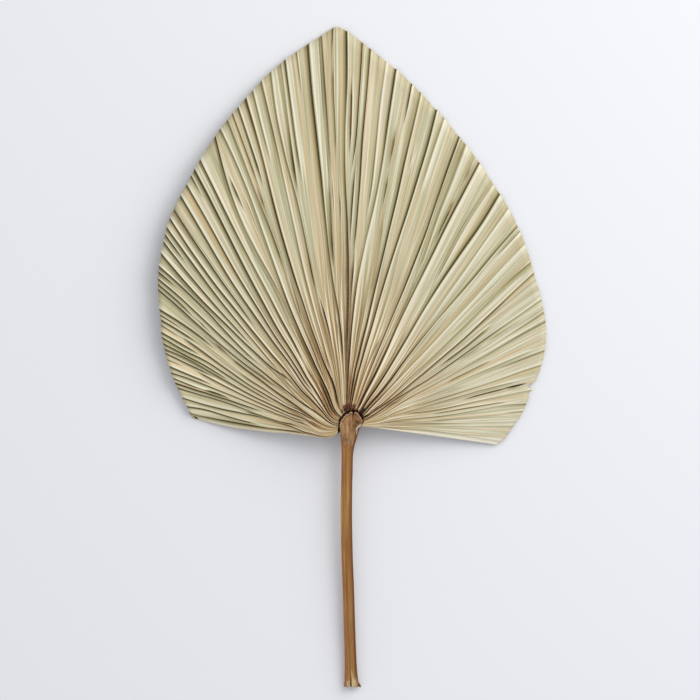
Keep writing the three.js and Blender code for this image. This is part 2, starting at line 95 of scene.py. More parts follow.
FOLDS = [
    [-86.8, -86.9, -86.6, -86.5, -86.4, -86.2, -86, -84.2, -83.1, 1, 0.27, 6.5, 2.5, 2.1, 5.9, 1.3],
    [-85.4, -86.3, -86.1, -86.1, -85.7, -85.7, -85.7, -83.7, -82.5, 1, 0.91, 0.3, 0.2, 0.1, 2.5, 1],
    [-84, -83.6, -84.2, -84.6, -84.2, -84.6, -85.2, -82.7, -81.3, 1, 0.56, 2, 1.3, 0.5, 1.9, 1],
    [-81.2, -81.8, -81.7, -81, -80.4, -81.7, -83.9, -80.2, -78.1, 1, 0.14, 2.4, 1.1, 1.7, 1.8, 1.4],
    [-79.1, -79.5, -79.4, -79.2, -79.9, -80.1, -78.6, -74.9, -73.9, 0.61, 0.28, 0.9, 3, 1.4, 4.2, 1.3],
    [-78.2, -78.5, -78.4, -78.4, -79.2, -79.4, -77.9, -74.2, -73.4, 1, 0.51, 2.9, 0.6, 0.8, 2.1, 1.3],
    [-77, -77.2, -76.7, -76.4, -76.1, -76.3, -75, -71.3, -71.1, 1, 0.49, 3.6, 2.5, 0.4, 3.2, 1],
    [-75.8, -76.2, -75.8, -75.3, -75.1, -75.3, -74.1, -70.5, -70.4, 0.83, 0.67, 6.3, 1.4, 0.2, 4.6, 2],
    [-75.5, -76, -75.6, -75.1, -74.8, -75, -73.9, -70.2, -70.2, 1, 0.83, 2.9, 2, 1.3, 1.8, 0.8],
    [-74.1, -73.9, -73.8, -73.6, -73.5, -73.7, -72.6, -68.8, -69.1, 1, 0.21, 1.8, 1.6, 1.6, 2, 1.4],
    [-72.4, -72.6, -72.4, -72.4, -72.4, -72.5, -71.4, -68.3, -68.7, 1, 0.76, 3.4, 1.3, 0.5, 2.1, 0.8],
    [-70.5, -70.5, -70.8, -71.1, -71.2, -71.1, -70, -68, -68.5, 1, 0.89, 1.1, 0.6, 0.4, 1.6, 0.8],
    [-70, -70.1, -70.4, -70.7, -70.8, -70.8, -69.6, -66.4, -68.2, 0.83, 0.2, 3.7, 1.7, 1, 2.3, 1.2],
    [-69, -69.2, -69, -69.2, -69.4, -69.2, -67.8, -66, -68, 1, 0.73, 3.2, 0.5, 0.2, 2, 0.8],
    [-68, -67.7, -67.8, -68.1, -68.3, -68.1, -66.5, -64.1, -65.5, 1, 0, 2.7, 2.2, 0.9, 2, 1.6],
    [-66.7, -66.8, -66.6, -67, -67.2, -67.3, -65.7, -63.1, -63.3, 1, 0.64, 3.8, 1.7, 0.7, 2.4, 0.8],
    [-66.4, -66.5, -66.2, -66.6, -66.8, -66.9, -65.4, -62.7, -62.6, 0.2, 0.13, 6.5, 4.7, 2.2, 6.2, 2.2],
    [-65.2, -65.5, -64.8, -65.3, -65.5, -65.9, -64.4, -61.8, -61.9, 1, 0.38, 3.5, 1.9, 0.8, 2.2, 1.1],
    [-64.1, -64.1, -63.9, -64.4, -64.7, -64.9, -63.4, -60.9, -61.3, 1, 0.79, 3.6, 1.2, 0.6, 2.3, 0.8],
    [-62.3, -62.5, -62.8, -63.3, -63.6, -63.8, -62.3, -59.9, -60.6, 1, 0.89, 1.1, 0.8, 0.6, 1.6, 0.8],
    [-62.1, -62.2, -62.5, -63.1, -63.4, -63.3, -61.7, -59.4, -60.4, 0.88, 0.15, 3.6, 1.3, 2.1, 2.3, 1.3],
    [-61.2, -60.9, -60.6, -61.2, -61.5, -61.3, -60, -58, -60.2, 1, 0.79, 2.8, 1.3, 0.5, 2.4, 0.8],
    [-60.4, -60.3, -60, -60.6, -60.8, -60.6, -59.5, -57.5, -60, 0.56, 0.28, 1.9, 1.5, 0.7, 2.6, 1],
    [-60.2, -59.9, -59.6, -60.3, -60.5, -60.3, -59.2, -57.3, -59.7, 0.29, 0.2, 4.9, 3.5, 1.9, 3.4, 1.2],
    [-60, -59.7, -59.4, -60.1, -60.2, -60.1, -58.9, -57.1, -59.5, 1, 0.88, 2.3, 0.9, 0.6, 1.6, 0.8],
    [-59, -58.6, -58.4, -59, -59.1, -59.1, -58, -56.8, -59.3, 1, 0.7, 3.7, 0.8, 0.5, 2.5, 0.9],
    [-57, -57, -57, -57.4, -57.1, -57.2, -56.4, -56.4, -58, 0.6, 0, 5.6, 2.5, 2, 3.5, 1.9],
    [-56.1, -56.2, -56.4, -56.9, -56.7, -56.6, -55.7, -55.5, -56.6, 0.69, 0.61, 3.9, 4.2, 1.8, 4.1, 1.1],
    [-54.9, -55.2, -55.6, -55.6, -54.9, -54.1, -52.7, -51.9, -50.8, 1, 0.34, 3.8, 3, 2.1, 2.4, 1.3],
    [-53.9, -54, -54.7, -54.6, -54, -53.3, -51.9, -51, -49.2, 1, 0.8, 3.5, 2.2, 1.1, 2.2, 0.8],
    [-53.7, -53.8, -54.4, -54.4, -53.8, -53.1, -51.7, -50.7, -49, 0.8, 0.69, 2.2, 1.1, 0.4, 2.5, 0.8],
    [-52.8, -52.7, -52.8, -52.9, -52.4, -51.8, -50.4, -49.1, -46.3, 1, 0, 3.2, 3, 1.5, 2, 1.7],
    [-51.5, -51.2, -51.1, -51.4, -51.1, -50.6, -49.2, -48.2, -45.5, 1, 0.9, 3.7, 2.5, 1.3, 2.3, 0.8],
    [-50.4, -50.2, -50, -50.3, -50.2, -49.8, -48.4, -47.5, -44.9, 1, 0.44, 3.7, 2.6, 1, 2.3, 0.9],
    [-48.5, -48.9, -48.9, -48.6, -47.9, -47, -45.8, -45.3, -43, 0.34, 0.24, 0.8, 2.5, 0.9, 4.7, 1.5],
    [-48, -48.6, -48.7, -48.2, -47.4, -46.4, -42.6, -42.4, -40.4, 1, 0.26, 4.5, 2.5, 2.2, 2.8, 1.4],
    [-45.6, -46.3, -46.5, -46.4, -45.9, -45.5, -42.4, -42.2, -40.2, 1, 0.49, 3.7, 2.6, 1.5, 2.3, 1],
    [-44.3, -44.9, -45.2, -45.3, -45, -44.9, -42.2, -42, -40, 1, 0.88, 3.7, 2.1, 1.1, 2.4, 0.8],
    [-43, -43.6, -44, -44.2, -44, -44.4, -42, -41.7, -39.8, 1, 0.33, 4.2, 1.3, 1.5, 2.6, 1],
    [-41.2, -41.9, -42.2, -42, -41.5, -41.5, -41, -41, -39.2, 1, 0, 3.2, 3.7, 1.8, 2.6, 1.9],
    [-39.3, -39.8, -39.9, -39.8, -39.4, -39.4, -39, -39.1, -37.5, 1, 0.49, 4.5, 2.9, 0.7, 2.8, 0.8],
    [-38.5, -38.9, -39.1, -39, -38.6, -38.6, -38.2, -38.4, -36.9, 1, 0.85, 0.7, 0.3, 0.1, 4.7, 0.9],
    [-36.6, -37, -37.3, -37.5, -37, -37, -36.7, -37, -35.6, 1, 0, 2.6, 3.5, 1.1, 2.7, 1.6],
    [-34.3, -34.5, -34.7, -34.8, -34.5, -34.6, -34.4, -34.3, -32.8, 1, 0.17, 2, 3.5, 2.6, 2.7, 1.6],
    [-32.6, -32.8, -32.9, -33, -32.9, -33, -32.9, -33, -31.6, 1, 0.91, 2, 1.3, 0.7, 2.6, 1],
    [-31.5, -31.6, -31.7, -31.8, -31.8, -31.9, -31.8, -32, -30.8, 1, 0, 4, 3.3, 1.6, 3.8, 1.8],
    [-29.8, -29.9, -29.8, -29.4, -29, -28.8, -28.9, -28.4, -26.9, 0.25, 0, 6.5, 6.5, 1.1, 6.3, 2.3],
    [-29.6, -29.7, -29.5, -29.1, -28.6, -28.4, -28.5, -27.7, -26.3, 1, 0.25, 2.3, 1.8, 2.4, 3.1, 2.2],
    [-26.6, -27.4, -27.8, -27.2, -26, -25.4, -25.1, -24.7, -23.6, 0.19, 0, 1.5, 3.4, 1.6, 6.5, 2.4],
    [-25.9, -27.2, -27.6, -27, -25.8, -25.1, -24.8, -24.4, -23.2, 1, 0.9, 0.8, 0.6, 0.3, 6.5, 2.4],
    [-25.2, -26.5, -27.1, -26.4, -25, -24.2, -24.1, -23.8, -22.3, 1, 0.33, 3, 1.9, 0.3, 5, 2.4],
    [-24.9, -25.5, -25.1, -24.5, -24, -23.7, -23.9, -23.6, -22.1, 0.87, 0.75, 3.3, 1.5, 0.5, 2.7, 0.8],
    [-24.2, -24.3, -23.8, -23.4, -23.3, -23.4, -23.7, -23.3, -21.9, 0.79, 0.64, 1.8, 0.4, 0.2, 2.7, 1.6],
    [-23.8, -23.2, -22.8, -22.8, -23, -23.1, -23.2, -22.9, -21.3, 1, 0, 2.2, 1.5, 3, 3.4, 2],
    [-22.1, -21.7, -21.2, -20.5, -20.2, -20.3, -20.7, -20.5, -18.3, 1, 0.49, 2.6, 2.4, 2.8, 4.3, 2.4],
    [-20.8, -20.6, -20.2, -20, -19.9, -20, -20.5, -20.3, -18, 0.76, 0.68, 4.7, 4, 2.1, 4.5, 2.4],
    [-20.7, -20.4, -20, -19.8, -19.7, -19.8, -20.2, -20, -17.8, 1, 0.76, 1.6, 2.2, 1.2, 2.4, 0.9],
    [-20.3, -20.1, -19.8, -19.6, -19.4, -19.5, -20, -19.8, -17.4, 0.49, 0.32, 6.5, 1.9, 1.3, 6.5, 2.4],
    [-19.6, -19.6, -19.2, -19.2, -18.9, -18.7, -18.7, -18.6, -15.9, 0.41, 0.18, 0.4, 0.4, 1.4, 6.5, 2.4],
    [-19.5, -19.3, -19, -18.9, -18.7, -18.5, -18.5, -18.3, -15.6, 1, 0.75, 2.6, 3.3, 1.4, 3.4, 1],
    [-17.8, -17.7, -17.8, -17.9, -17.8, -17.3, -17.3, -16.6, -13.3, 1, 0, 3.1, 3.2, 1.6, 4.1, 2.2],
    [-16.3, -16.3, -16.1, -16.1, -16, -15.6, -15.5, -15.2, -11.7, 1, 0.77, 1.7, 1.7, 0.7, 3.1, 1],
    [-14.6, -14.5, -14.3, -14.2, -14.3, -13.9, -13.7, -13.9, -11.4, 1, 0.13, 2.5, 1.5, 1.4, 4.1, 2.4],
    [-13.1, -13.4, -13.1, -12.2, -12, -11.4, -10.6, -10.6, -9.2, 0.35, 0.17, 6.5, 3.9, 0.4, 6.5, 2.4],
    [-12.8, -13.2, -12.8, -11.9, -11.7, -11.1, -9.6, -9.2, -8.1, 1, 0.36, 2.4, 1.7, 3.8, 3.8, 2.4],
    [-10.9, -11.2, -11.5, -11.3, -11, -10.5, -9.4, -8.9, -6.9, 1, 0.65, 2.5, 5.7, 2.7, 5.3, 1.7],
    [-10.6, -10.8, -11, -11.1, -10.8, -10.3, -9.1, -8.7, -6.7, 0.35, 0.13, 6.5, 5.7, 0.9, 6.5, 2.4],
    [-10.2, -10.3, -10.3, -9.8, -9.6, -9, -7.7, -7.3, -6.2, 1, 0.67, 2.4, 2.5, 0.8, 3.8, 1],
    [-8.1, -8, -7.7, -7.3, -7.2, -6.4, -5, -4.7, -4.4, 1, 0.87, 1.4, 0.6, 0.3, 2.3, 0.8],
    [-7.4, -7.4, -7.2, -6.7, -6.6, -5.8, -4.4, -4.1, -3.9, 0.29, 0.2, 1.2, 1.4, 1.3, 6.5, 2.4],
    [-6.4, -6.4, -6.1, -5.6, -5.5, -4.6, -2.8, -2.1, -2.4, 1, 0.14, 4, 2.3, 2, 4.9, 2.4],
    [-4.6, -4.6, -4.2, -3.8, -4.3, -3.6, -2.1, -1.4, -1.8, 0.63, 0.39, 2.2, 2.7, 3.8, 6.5, 2.4],
    [-4.2, -4.1, -3.8, -3.4, -3.5, -2.8, -1.5, -0.9, -1.4, 1, 0.63, 2.5, 1.5, 0.4, 4.1, 1.5],
    [-3.6, -3.7, -3.4, -3.1, -2.9, -2.2, -1, -0.4, -1.1, 0.64, 0.51, 0.9, 0.9, 0.4, 2.5, 0.9],
    [-2.4, -2.8, -2.5, -2.1, -1.9, -1.2, -0.3, 0.2, -0.8, 1, 0.92, 2, 1.6, 0.9, 2.2, 1],
    [-2.1, -2.6, -2.3, -1.9, -1.7, -1, -0.1, 0.4, -0.6, 0.92, 0.66, 1.9, 2.2, 0.6, 3.1, 0.9],
    [-1.8, -2, -1.8, -1.5, -1.3, -0.6, 0.1, 0.6, -0.4, 0.59, 0.5, 2.4, 1.9, 0.6, 2.7, 1],
    [-0.6, -0.5, -0.6, -0.3, 0.3, 1, 1.3, 1.4, -0.2, 1, 0.19, 3.6, 2.2, 3.1, 4.9, 2.4],
    [0.5, 0.5, 0.6, 0.5, 0.6, 1.2, 1.5, 1.6, 0.1, 0.89, 0.69, 3, 2.9, 1.5, 2.6, 1],
    [1.9, 1.8, 1.7, 0.9, 0.8, 1.4, 1.7, 1.9, 0.3, 1, 0.66, 2.1, 2.6, 1.3, 2.6, 0.8],
    [2.3, 2.2, 2.1, 1.7, 1.1, 1.6, 2, 2.1, 0.5, 0.67, 0.47, 3.9, 2.1, 1.4, 2.6, 1.6],
    [3.1, 3, 2.9, 3, 2.4, 1.9, 2.2, 2.3, 0.7, 1, 0.44, 2.7, 2.3, 0.8, 3.6, 1],
    [3.5, 3.4, 3.4, 3.4, 2.7, 2.1, 2.4, 2.5, 0.9, 0.44, 0.31, 6.2, 4.6, 1.6, 3.9, 1.8],
    [5.6, 5.5, 5.6, 5.6, 4.4, 3.2, 2.8, 2.7, 1.2, 1, 0.57, 1.5, 1.7, 1.2, 3.2, 1.2],
    [7.4, 7.3, 7.3, 6.8, 5.1, 3.7, 3.2, 3, 2, 1, 0, 2.9, 1.3, 2.3, 3.4, 1.6],
    [9.1, 9.1, 8.9, 8.7, 8.7, 7.4, 7, 6.2, 4.1, 0.86, 0.73, 2.9, 3.2, 1.7, 5.2, 1.7],
    [9.3, 9.4, 9.1, 8.9, 8.9, 7.7, 7.3, 6.4, 4.3, 0.73, 0.61, 2.6, 2.3, 1.7, 4.6, 1.7],
    [9.5, 9.6, 9.3, 9.2, 9.2, 8.1, 7.7, 6.7, 4.6, 0.45, 0, 0.7, 1, 1.2, 6.5, 2.4],
    [9.7, 9.8, 9.5, 9.4, 9.5, 9, 8.2, 7.3, 5.2, 0.61, 0.34, 5.7, 1.3, 1.3, 6.5, 2.4],
    [10.3, 10.4, 10.1, 10.1, 10.1, 9.5, 8.9, 8, 6.1, 1, 0.88, 2.3, 1, 0.5, 2.4, 0.8],
    [12, 12, 11.9, 11.7, 11.1, 10.5, 10.1, 9.3, 7.5, 1, 0, 2.5, 3.2, 3.2, 3.6, 2],
    [13.2, 13.2, 13.1, 12.8, 12.1, 11.4, 11, 10.3, 8.5, 0.86, 0.77, 1.3, 1, 0.4, 2.9, 1],
    [15.4, 15.6, 15.4, 14.9, 13.9, 13.1, 12.8, 12.2, 10.5, 1, 0, 3.9, 2.4, 2.6, 3.3, 1.6],
    [17.1, 16.9, 16.8, 16.5, 15.6, 14.8, 14.2, 13.4, 11.7, 1, 0.75, 1.4, 1.5, 0.8, 3, 1.3],
    [19.8, 19.9, 20.1, 20.2, 19.7, 19.1, 17.4, 16.1, 14.5, 0.43, 0.32, 0.8, 0.4, 0.4, 3.9, 1.7],
    [20.1, 20.2, 20.4, 20.4, 19.9, 19.3, 18, 16.6, 15, 0.31, 0, 3.1, 2.3, 1.1, 6.2, 2.4],
    [20.8, 21, 21.3, 21.5, 21.1, 20.4, 20.1, 20, 19.2, 1, 0, 3.1, 2.5, 0.9, 3.9, 1.6],
    [22, 22.2, 22.4, 23, 23.2, 22.6, 22.7, 22.6, 21.6, 0.54, 0.31, 1.5, 0.6, 0.2, 6.5, 1.5],
    [22.2, 22.4, 22.6, 23.4, 23.7, 23.1, 23.2, 23.1, 22, 1, 0.54, 3.4, 2, 0.6, 6.5, 2.4],
    [25, 25, 24.5, 24.7, 24.3, 23.8, 23.8, 23.7, 22.5, 1, 0.84, 1.6, 2.7, 1, 3.6, 1],
    [25.2, 25.2, 24.8, 24.9, 24.6, 24, 24, 23.9, 22.7, 0.83, 0.66, 3.6, 2, 0.7, 4.1, 2.4],
    [26.3, 26, 25.7, 25.5, 24.8, 24.3, 24.4, 24.3, 23.1, 1, 0, 3, 2, 2, 3.4, 2.4],
    [30.1, 29.7, 29.5, 29.7, 30.3, 30.1, 29.9, 29.6, 28.9, 0.57, 0.47, 2.7, 0.3, 0.1, 6.5, 2.4],
    [30.7, 30.2, 30, 30.3, 30.5, 30.3, 30.1, 29.8, 29.1, 1, 0.58, 1.2, 2.2, 0.9, 3.6, 1.1],
    [32.9, 33, 32.5, 32, 31.5, 31.4, 31.1, 30.8, 30.2, 1, 0, 4, 2, 2.1, 4.3, 1.9],
    [36.2, 36.2, 36.2, 36.2, 36.5, 36.2, 35.7, 35.3, 34.7, 1, 0.46, 1.4, 0.7, 0.1, 3, 1],
    [40.3, 40, 39.7, 39.3, 38.6, 37.7, 37, 36.6, 36.1, 1, 0, 2.3, 1.5, 2.8, 3.1, 2.4],
    [41.4, 41.1, 40.8, 40.6, 40.1, 39.2, 38.3, 37.5, 37.1, 1, 0.84, 1.5, 0.8, 0.4, 3, 1],
    [43.1, 43.1, 42.9, 42.8, 42.7, 41.9, 40.6, 39.2, 39, 0.32, 0.26, 0.3, 0.2, 0.2, 6.5, 2.4],
    [44, 44, 43.9, 43.8, 43.9, 43.2, 41.4, 39.8, 39.6, 1, 0, 1.2, 1.1, 1, 3, 2],
    [47.6, 47.5, 47.4, 47.5, 47.8, 47.5, 46.2, 45, 45.2, 0.8, 0.53, -0.5, -2.3, -0.7, 6.5, 2],
    [48.7, 48.4, 48.6, 49, 49.6, 49.5, 48.5, 47.4, 47.9, 1, 0, -2.4, -1.7, -0.9, 4.8, 1.8],
    [50.9, 51.3, 51.8, 52.4, 53.1, 53.4, 52.6, 50.3, 48.6, 1, 0, -1.7, -3.6, -2.4, 2.5, 1.9],
    [54.5, 54.7, 55, 55.5, 56, 56.2, 54.7, 52.2, 52.4, 0.75, 0.45, -2.4, -2.2, -0.4, 4.4, 1.1],
    [57.3, 57.4, 57.4, 57.6, 58.4, 58.6, 56.5, 53.9, 55.8, 1, 0, -1.3, -1.9, -1.5, 2.3, 1.9],
    [58.8, 58.7, 58.6, 58.5, 59, 59.3, 58.5, 55.4, 60.5, 1, 0.69, -1.3, -1.7, -0.9, 3.4, 1],
    [59, 58.9, 58.9, 58.7, 59.2, 59.5, 58.7, 55.7, 60.7, 0.69, 0.53, -2.5, -0.8, -0.1, 3.3, 1.9],
    [60.2, 60.6, 60.9, 60.9, 61.5, 61.9, 59.7, 56.1, 61, 1, 0.64, -1.2, -0.7, -0.4, 2.5, 1],
    [61.7, 61.8, 62, 62.1, 62.8, 63.2, 60.9, 56.9, 61.2, 0.26, 0.16, -3, -2.8, -1.7, 6.5, 2.4],
    [62.5, 62.5, 62.7, 62.9, 63.5, 64, 62.5, 60.2, 62.3, 1, 0.29, -1.5, -1, -0.7, 2.5, 1.5],
    [65.6, 65.6, 65.5, 65.5, 65.8, 66.4, 64.7, 61.2, 62.5, 0.73, 0.46, -1.9, -1.9, -0.4, 5, 1.2],
    [68.3, 68.3, 68.1, 67.8, 68.5, 69.4, 68.3, 65.1, 65.5, 0.94, 0.27, -1.6, -0.8, -0.5, 3.1, 1.9],
    [69.6, 69.5, 69.3, 69.1, 69.5, 70.4, 69.4, 66.3, 66.7, 1, 0.72, -1.5, -0.1, -0.1, 2.7, 1.3],
    [71, 71, 70.9, 70.7, 70.9, 71.6, 70.6, 67.6, 68, 0.6, 0.46, -1.7, -1.2, -0.4, 4.5, 1.1],
    [73.2, 73.2, 73.3, 73.2, 73.4, 73.9, 73.1, 70.4, 70.7, 1, 0.29, -1.3, -1.1, -0.4, 2.7, 1.5],
    [76, 75.8, 75.4, 75.2, 75.6, 76.6, 77.2, 74.9, 75.1, 0.9, 0.22, -1.1, -1.3, -0.4, 2.6, 1.9],
    [77, 77.1, 77, 77.1, 77.4, 77.9, 77.9, 75.8, 75.9, 0.85, 0.6, -3.8, -0.5, -0.5, 2.4, 1],
    [77.5, 77.3, 77.3, 77.4, 77.8, 78.1, 78.1, 76, 76.1, 0.94, 0.85, -3.2, -2.2, -1.3, 2, 0.8],
    [79.7, 79.6, 79.6, 79.8, 80.2, 79.8, 78.3, 76.2, 76.4, 1, 0.29, -0.9, -1.3, -1.6, 2.4, 2],
    [82.2, 82, 82, 81.9, 82.4, 82.4, 81.5, 79.6, 79.7, 0.88, 0.44, -1.7, -1, -0.2, 2.3, 0.9],
    [83.8, 83.4, 83.7, 84.4, 84.9, 85.1, 84.8, 83.2, 83.2, 1, 0.17, -1.4, -1.2, -0.6, 2.7, 1.8],
    [86, 86.1, 86.4, 86.5, 86.7, 86.9, 86.7, 85.4, 85.3, 1, 0.87, -1.1, -0.5, -0.3, 2.4, 1.2],
    [86.9, 87, 87.3, 87.3, 87.3, 87.5, 87.3, 86.1, 86.1, 0.87, 0.46, -0.4, -1.1, -0.5, 2.6, 0.9],
    [89.5, 89.8, 89.9, 89.8, 89.6, 89.6, 89.6, 88.5, 88.5, 1, 0.2, -0.7, -1.3, -1, 3.2, 2],
    [91.9, 91.9, 91.7, 91.4, 91, 90.9, 90.8, 89.9, 89.9, 1, 0.81, -0.5, -0.3, -0.2, 4.8, 1.8],
    [93.1, 92.9, 92.8, 92.4, 91.8, 91.7, 91.6, 90.7, 90.7, 1, 0.47, -0.6, -0.9, -0.3, 3.4, 1],
    [95.9, 95.6, 95.1, 94.6, 94, 93.8, 93.6, 92.7, 92.6, 1, 0.81, -0.2, -0.1, -0.1, 1.7, 0.8],
    [96, 95.9, 95.4, 94.8, 94.2, 94.1, 93.9, 93, 92.9, 0.81, 0.74, -0.1, -0.1, -0.1, 1.6, 0.8],
    [97, 96.8, 96.3, 95.7, 95.1, 94.9, 94.6, 93.8, 93.1, 1, 0.22, -1.1, -0.7, -0.2, 3.3, 1.5],
]

# ------------------------------------------------------------------ helpers


def curve(xs, ys, x):
    """Smooth curve through a table, as in the CAD source."""
    xs, ys, x = np.asarray(xs, float), np.asarray(ys, float), np.asarray(x, float)
    h = np.diff(xs)
    slope = np.diff(ys) / h
    tangent = np.empty(len(xs))
    tangent[0], tangent[-1] = slope[0], slope[-1]
    tangent[1:-1] = (slope[:-1] * h[1:] + slope[1:] * h[:-1]) / (h[:-1] + h[1:])
    i = np.clip(np.searchsorted(xs, x, side="left") - 1, 0, len(xs) - 2)
    u = np.clip((x - xs[i]) / h[i], 0, 1)
    u2, u3 = u * u, u * u * u
    return (
        (2 * u3 - 3 * u2 + 1) * ys[i]
        + (u3 - 2 * u2 + u) * h[i] * tangent[i]
        + (3 * u2 - 2 * u3) * ys[i + 1]
        + (u3 - u2) * h[i] * tangent[i + 1]
    )


def smoothstep(a, b, x):
    u = np.clip((np.asarray(x, float) - a) / (b - a), 0, 1)
    return u * u * (3 - 2 * u)


def bell_area(x):
    x = np.clip(x, -8, 8)
    return 1 / (1 + np.exp(-1.5976 * x - 0.07056 * x**3))


def waves(seed, count, low, high):
    """A smooth random curve of one variable, about -1 to 1."""
    g = np.random.default_rng(seed)
    freq, phase, amp = g.uniform(low, high, count), g.uniform(0, 6.283, count), g.uniform(0.5, 1, count)
    amp = amp / np.sqrt((amp**2).sum() / 2) * 0.6
    return lambda x: (np.sin(np.asarray(x)[..., None] * freq + phase) * amp).sum(-1)


def mesh_object(name, verts, faces, smooth=True):
    me = bpy.data.meshes.new(name)
    me.from_pydata([tuple(v) for v in verts], [], faces)
    me.update()
    if smooth:
        me.polygons.foreach_set("use_smooth", [True] * len(me.polygons))
    ob = bpy.data.objects.new(name, me)
    bpy.context.scene.collection.objects.link(ob)
    return ob


def grid_mesh(name, verts, quads):
    """Fast build from numpy arrays of vertices and quads."""
    me = bpy.data.meshes.new(name)
    me.vertices.add(len(verts))
    me.vertices.foreach_set("co", np.asarray(verts, np.float32).ravel())
    me.loops.add(quads.size)
    me.loops.foreach_set("vertex_index", quads.astype(np.int32).ravel())
    me.polygons.add(len(quads))
    me.polygons.foreach_set("loop_start", np.arange(0, quads.size, 4, dtype=np.int32))
    me.polygons.foreach_set("loop_total", np.full(len(quads), 4, np.int32))
    me.polygons.foreach_set("use_smooth", np.ones(len(quads), bool))
    me.update(calc_edges=True)
    me.validate()
    ob = bpy.data.objects.new(name, me)
    bpy.context.scene.collection.objects.link(ob)
    return ob


def point_attribute(ob, name, values):
    a = ob.data.attributes.new(name, "FLOAT", "POINT")
    a.data.foreach_set("value", np.asarray(values, np.float32).ravel())


# ------------------------------------------------------------------ blade

FOLD = np.array(FOLDS, float)
NF = len(FOLD)
NS = len(STATIONS)
BEND_A = np.array(BEND, float)
FIRST, LAST = OUTLINE_T[0], OUTLINE_T[-1]
SIGN = np.where(FOLD[:, 11] + FOLD[:, 12] + FOLD[:, 13] >= 0, 1.0, -1.0)


def reach(t):
    return curve(OUTLINE_T, OUTLINE_R, t)


def root(t):
    return curve(ROOT_T, ROOT_R, t)


def bend(t, f):
    """Turn of a column away from its angle at the margin, smooth along the leaf."""
    t, f = np.asarray(t, float), np.asarray(f, float)
    bt, fr = np.asarray(BEND_T, float), np.asarray(BEND_F, float)[::-1]
    i = np.clip(np.searchsorted(bt, t) - 1, 0, len(bt) - 2)
    u = np.clip((t - bt[i]) / (bt[i + 1] - bt[i]), 0, 1)
    f = np.clip(f, fr[0], 1)
    cols = np.stack([curve(fr, BEND_A[::-1, j], f) for j in range(len(bt))])
    low = np.take_along_axis(cols, i[None], 0)[0]
    high = np.take_along_axis(cols, i[None] + 1, 0)[0]
    return low * (1 - u) + high * u


fold_reach, fold_root = reach(FOLD[:, 4]), root(FOLD[:, 4])
wander = [waves(100 + k, 5, 4, 22) for k in range(NF)]
swell = [waves(400 + k, 4, 4, 18) for k in range(NF)]
lean = [waves(700 + k, 4, 3, 12) for k in range(NF)]
LEAST = 0.10


def state(row):
    """Edges, rise and strength of all the folds on one row."""
    f = (fold_root + (fold_reach - fold_root) * row) / fold_reach
    middle = np.array([curve(STATIONS[::-1], FOLD[k, NS - 1::-1], f[k]) for k in range(NF)])
    middle = middle + np.array([w(row) for w in wander]) * 0.03 * smoothstep(0.0, 0.3, row)
    start, end = FOLD[:, 9], FOLD[:, 10]
    present = np.where(start >= 1, 1.0, 1 - smoothstep(0, 1, (f - start + 0.05) / 0.07))
    present = present * np.where(end <= 0, 1.0, smoothstep(0, 1, (f - end + 0.03) / 0.10))
    rise = np.array([np.interp(f[k], [0.2, 0.5, 0.85], FOLD[k, [13, 12, 11]]) for k in range(NF)])
    face = np.array([np.interp(f[k], [0.2, 0.8], FOLD[k, [15, 14]]) for k in range(NF)])
    wave = np.array([w(row) for w in swell])
    rise = rise * present * (1 + 0.14 * wave) * (0.35 + 0.65 * smoothstep(0.02, 0.10, f)) * RELIEF
    width = face * (0.4 + 0.6 * present) / np.radians(1) / (fold_reach * np.maximum(f, 0.08))
    width = np.where(present > 0.01, width, 0.16)
    edges = np.stack([middle - width / 2, middle + width / 2], 1).ravel()
    stiff = np.repeat(0.05 + present, 2)
    share = 1 / stiff[:-1] / (1 / stiff[:-1] + 1 / stiff[1:])
    for _ in range(120):
        gap = LEAST - np.diff(edges)
        gap = np.where(gap > 0, gap, 0)
        edges[:-1] -= gap * share * 0.9
        edges[1:] += gap * (1 - share) * 0.9
    n = len(edges)
    edges = np.maximum(edges, FIRST + LEAST * (np.arange(n) + 1))
    edges = np.minimum(edges, LAST - LEAST * (n - np.arange(n)))
    edges = np.maximum.accumulate(edges + np.arange(n) * 1e-4)
    return f, edges[0::2], edges[1::2], rise, present


def profile(u, sign):
    """Share of the rise reached at u of the way across the face: it hollows under the crest."""
    u = np.where(sign > 0, u, 1 - u)
    c = np.clip(u, 0, 1)
    v = 0.22 * c + 0.78 * c**2.3
    return np.where(sign > 0, v, 1 - v)


def across(a, b, values=None):
    """Angles of the mesh columns on one row: eight for each fold."""
    after = np.concatenate([a[1:], [LAST]])
    before = np.concatenate([[FIRST], b[:-1]])
    w, gap1, gap0 = b - a, after - b, a - before
    left = np.minimum(0.35 * w, 0.22 * gap0)
    right = np.minimum(0.35 * w, 0.22 * gap1)
    up = [a - left, a + 0.30 * w, a + 0.60 * w, a + 0.83 * w, a + 0.97 * w, b + right, b + 0.45 * gap1, b + 0.68 * gap1]
    down = [a - left, a + 0.03 * w, a + 0.17 * w, a + 0.40 * w, a + 0.70 * w, b + right, b + 0.45 * gap1, b + 0.68 * gap1]
    return np.where(SIGN[:, None] > 0, np.stack(up, 1), np.stack(down, 1))


# what each of the eight columns shows: painted crease shade, painted crest highlight, tan streak
CREASE_SHADE_UP = [0.06, 0.38, 0.74, 1.0, 0.34, 0.0, 0.0, 0.0]
CREST_HIGHLIGHT_UP = [0.0, 0.0, 0.0, 0.0, 0.55, 1.0, 0.12, 0.0]
CREASE_SHADE_DOWN = [0.0, 0.34, 1.0, 0.74, 0.38, 0.06, 0.0, 0.0]
CREST_HIGHLIGHT_DOWN = [1.0, 0.55, 0.0, 0.0, 0.0, 0.0, 0.0, 0.10]


def heights(t, a, b, rise):
    near = np.abs(t[:, None] - ((a + b) / 2)[None]) < 40
    T = t[:, None]
    steps = profile((T - a[None]) / (b - a)[None], SIGN[None]) - bell_area((T - ((a + b) / 2)[None]) / SMOOTH)
    return (steps * rise[None] * near).sum(1)


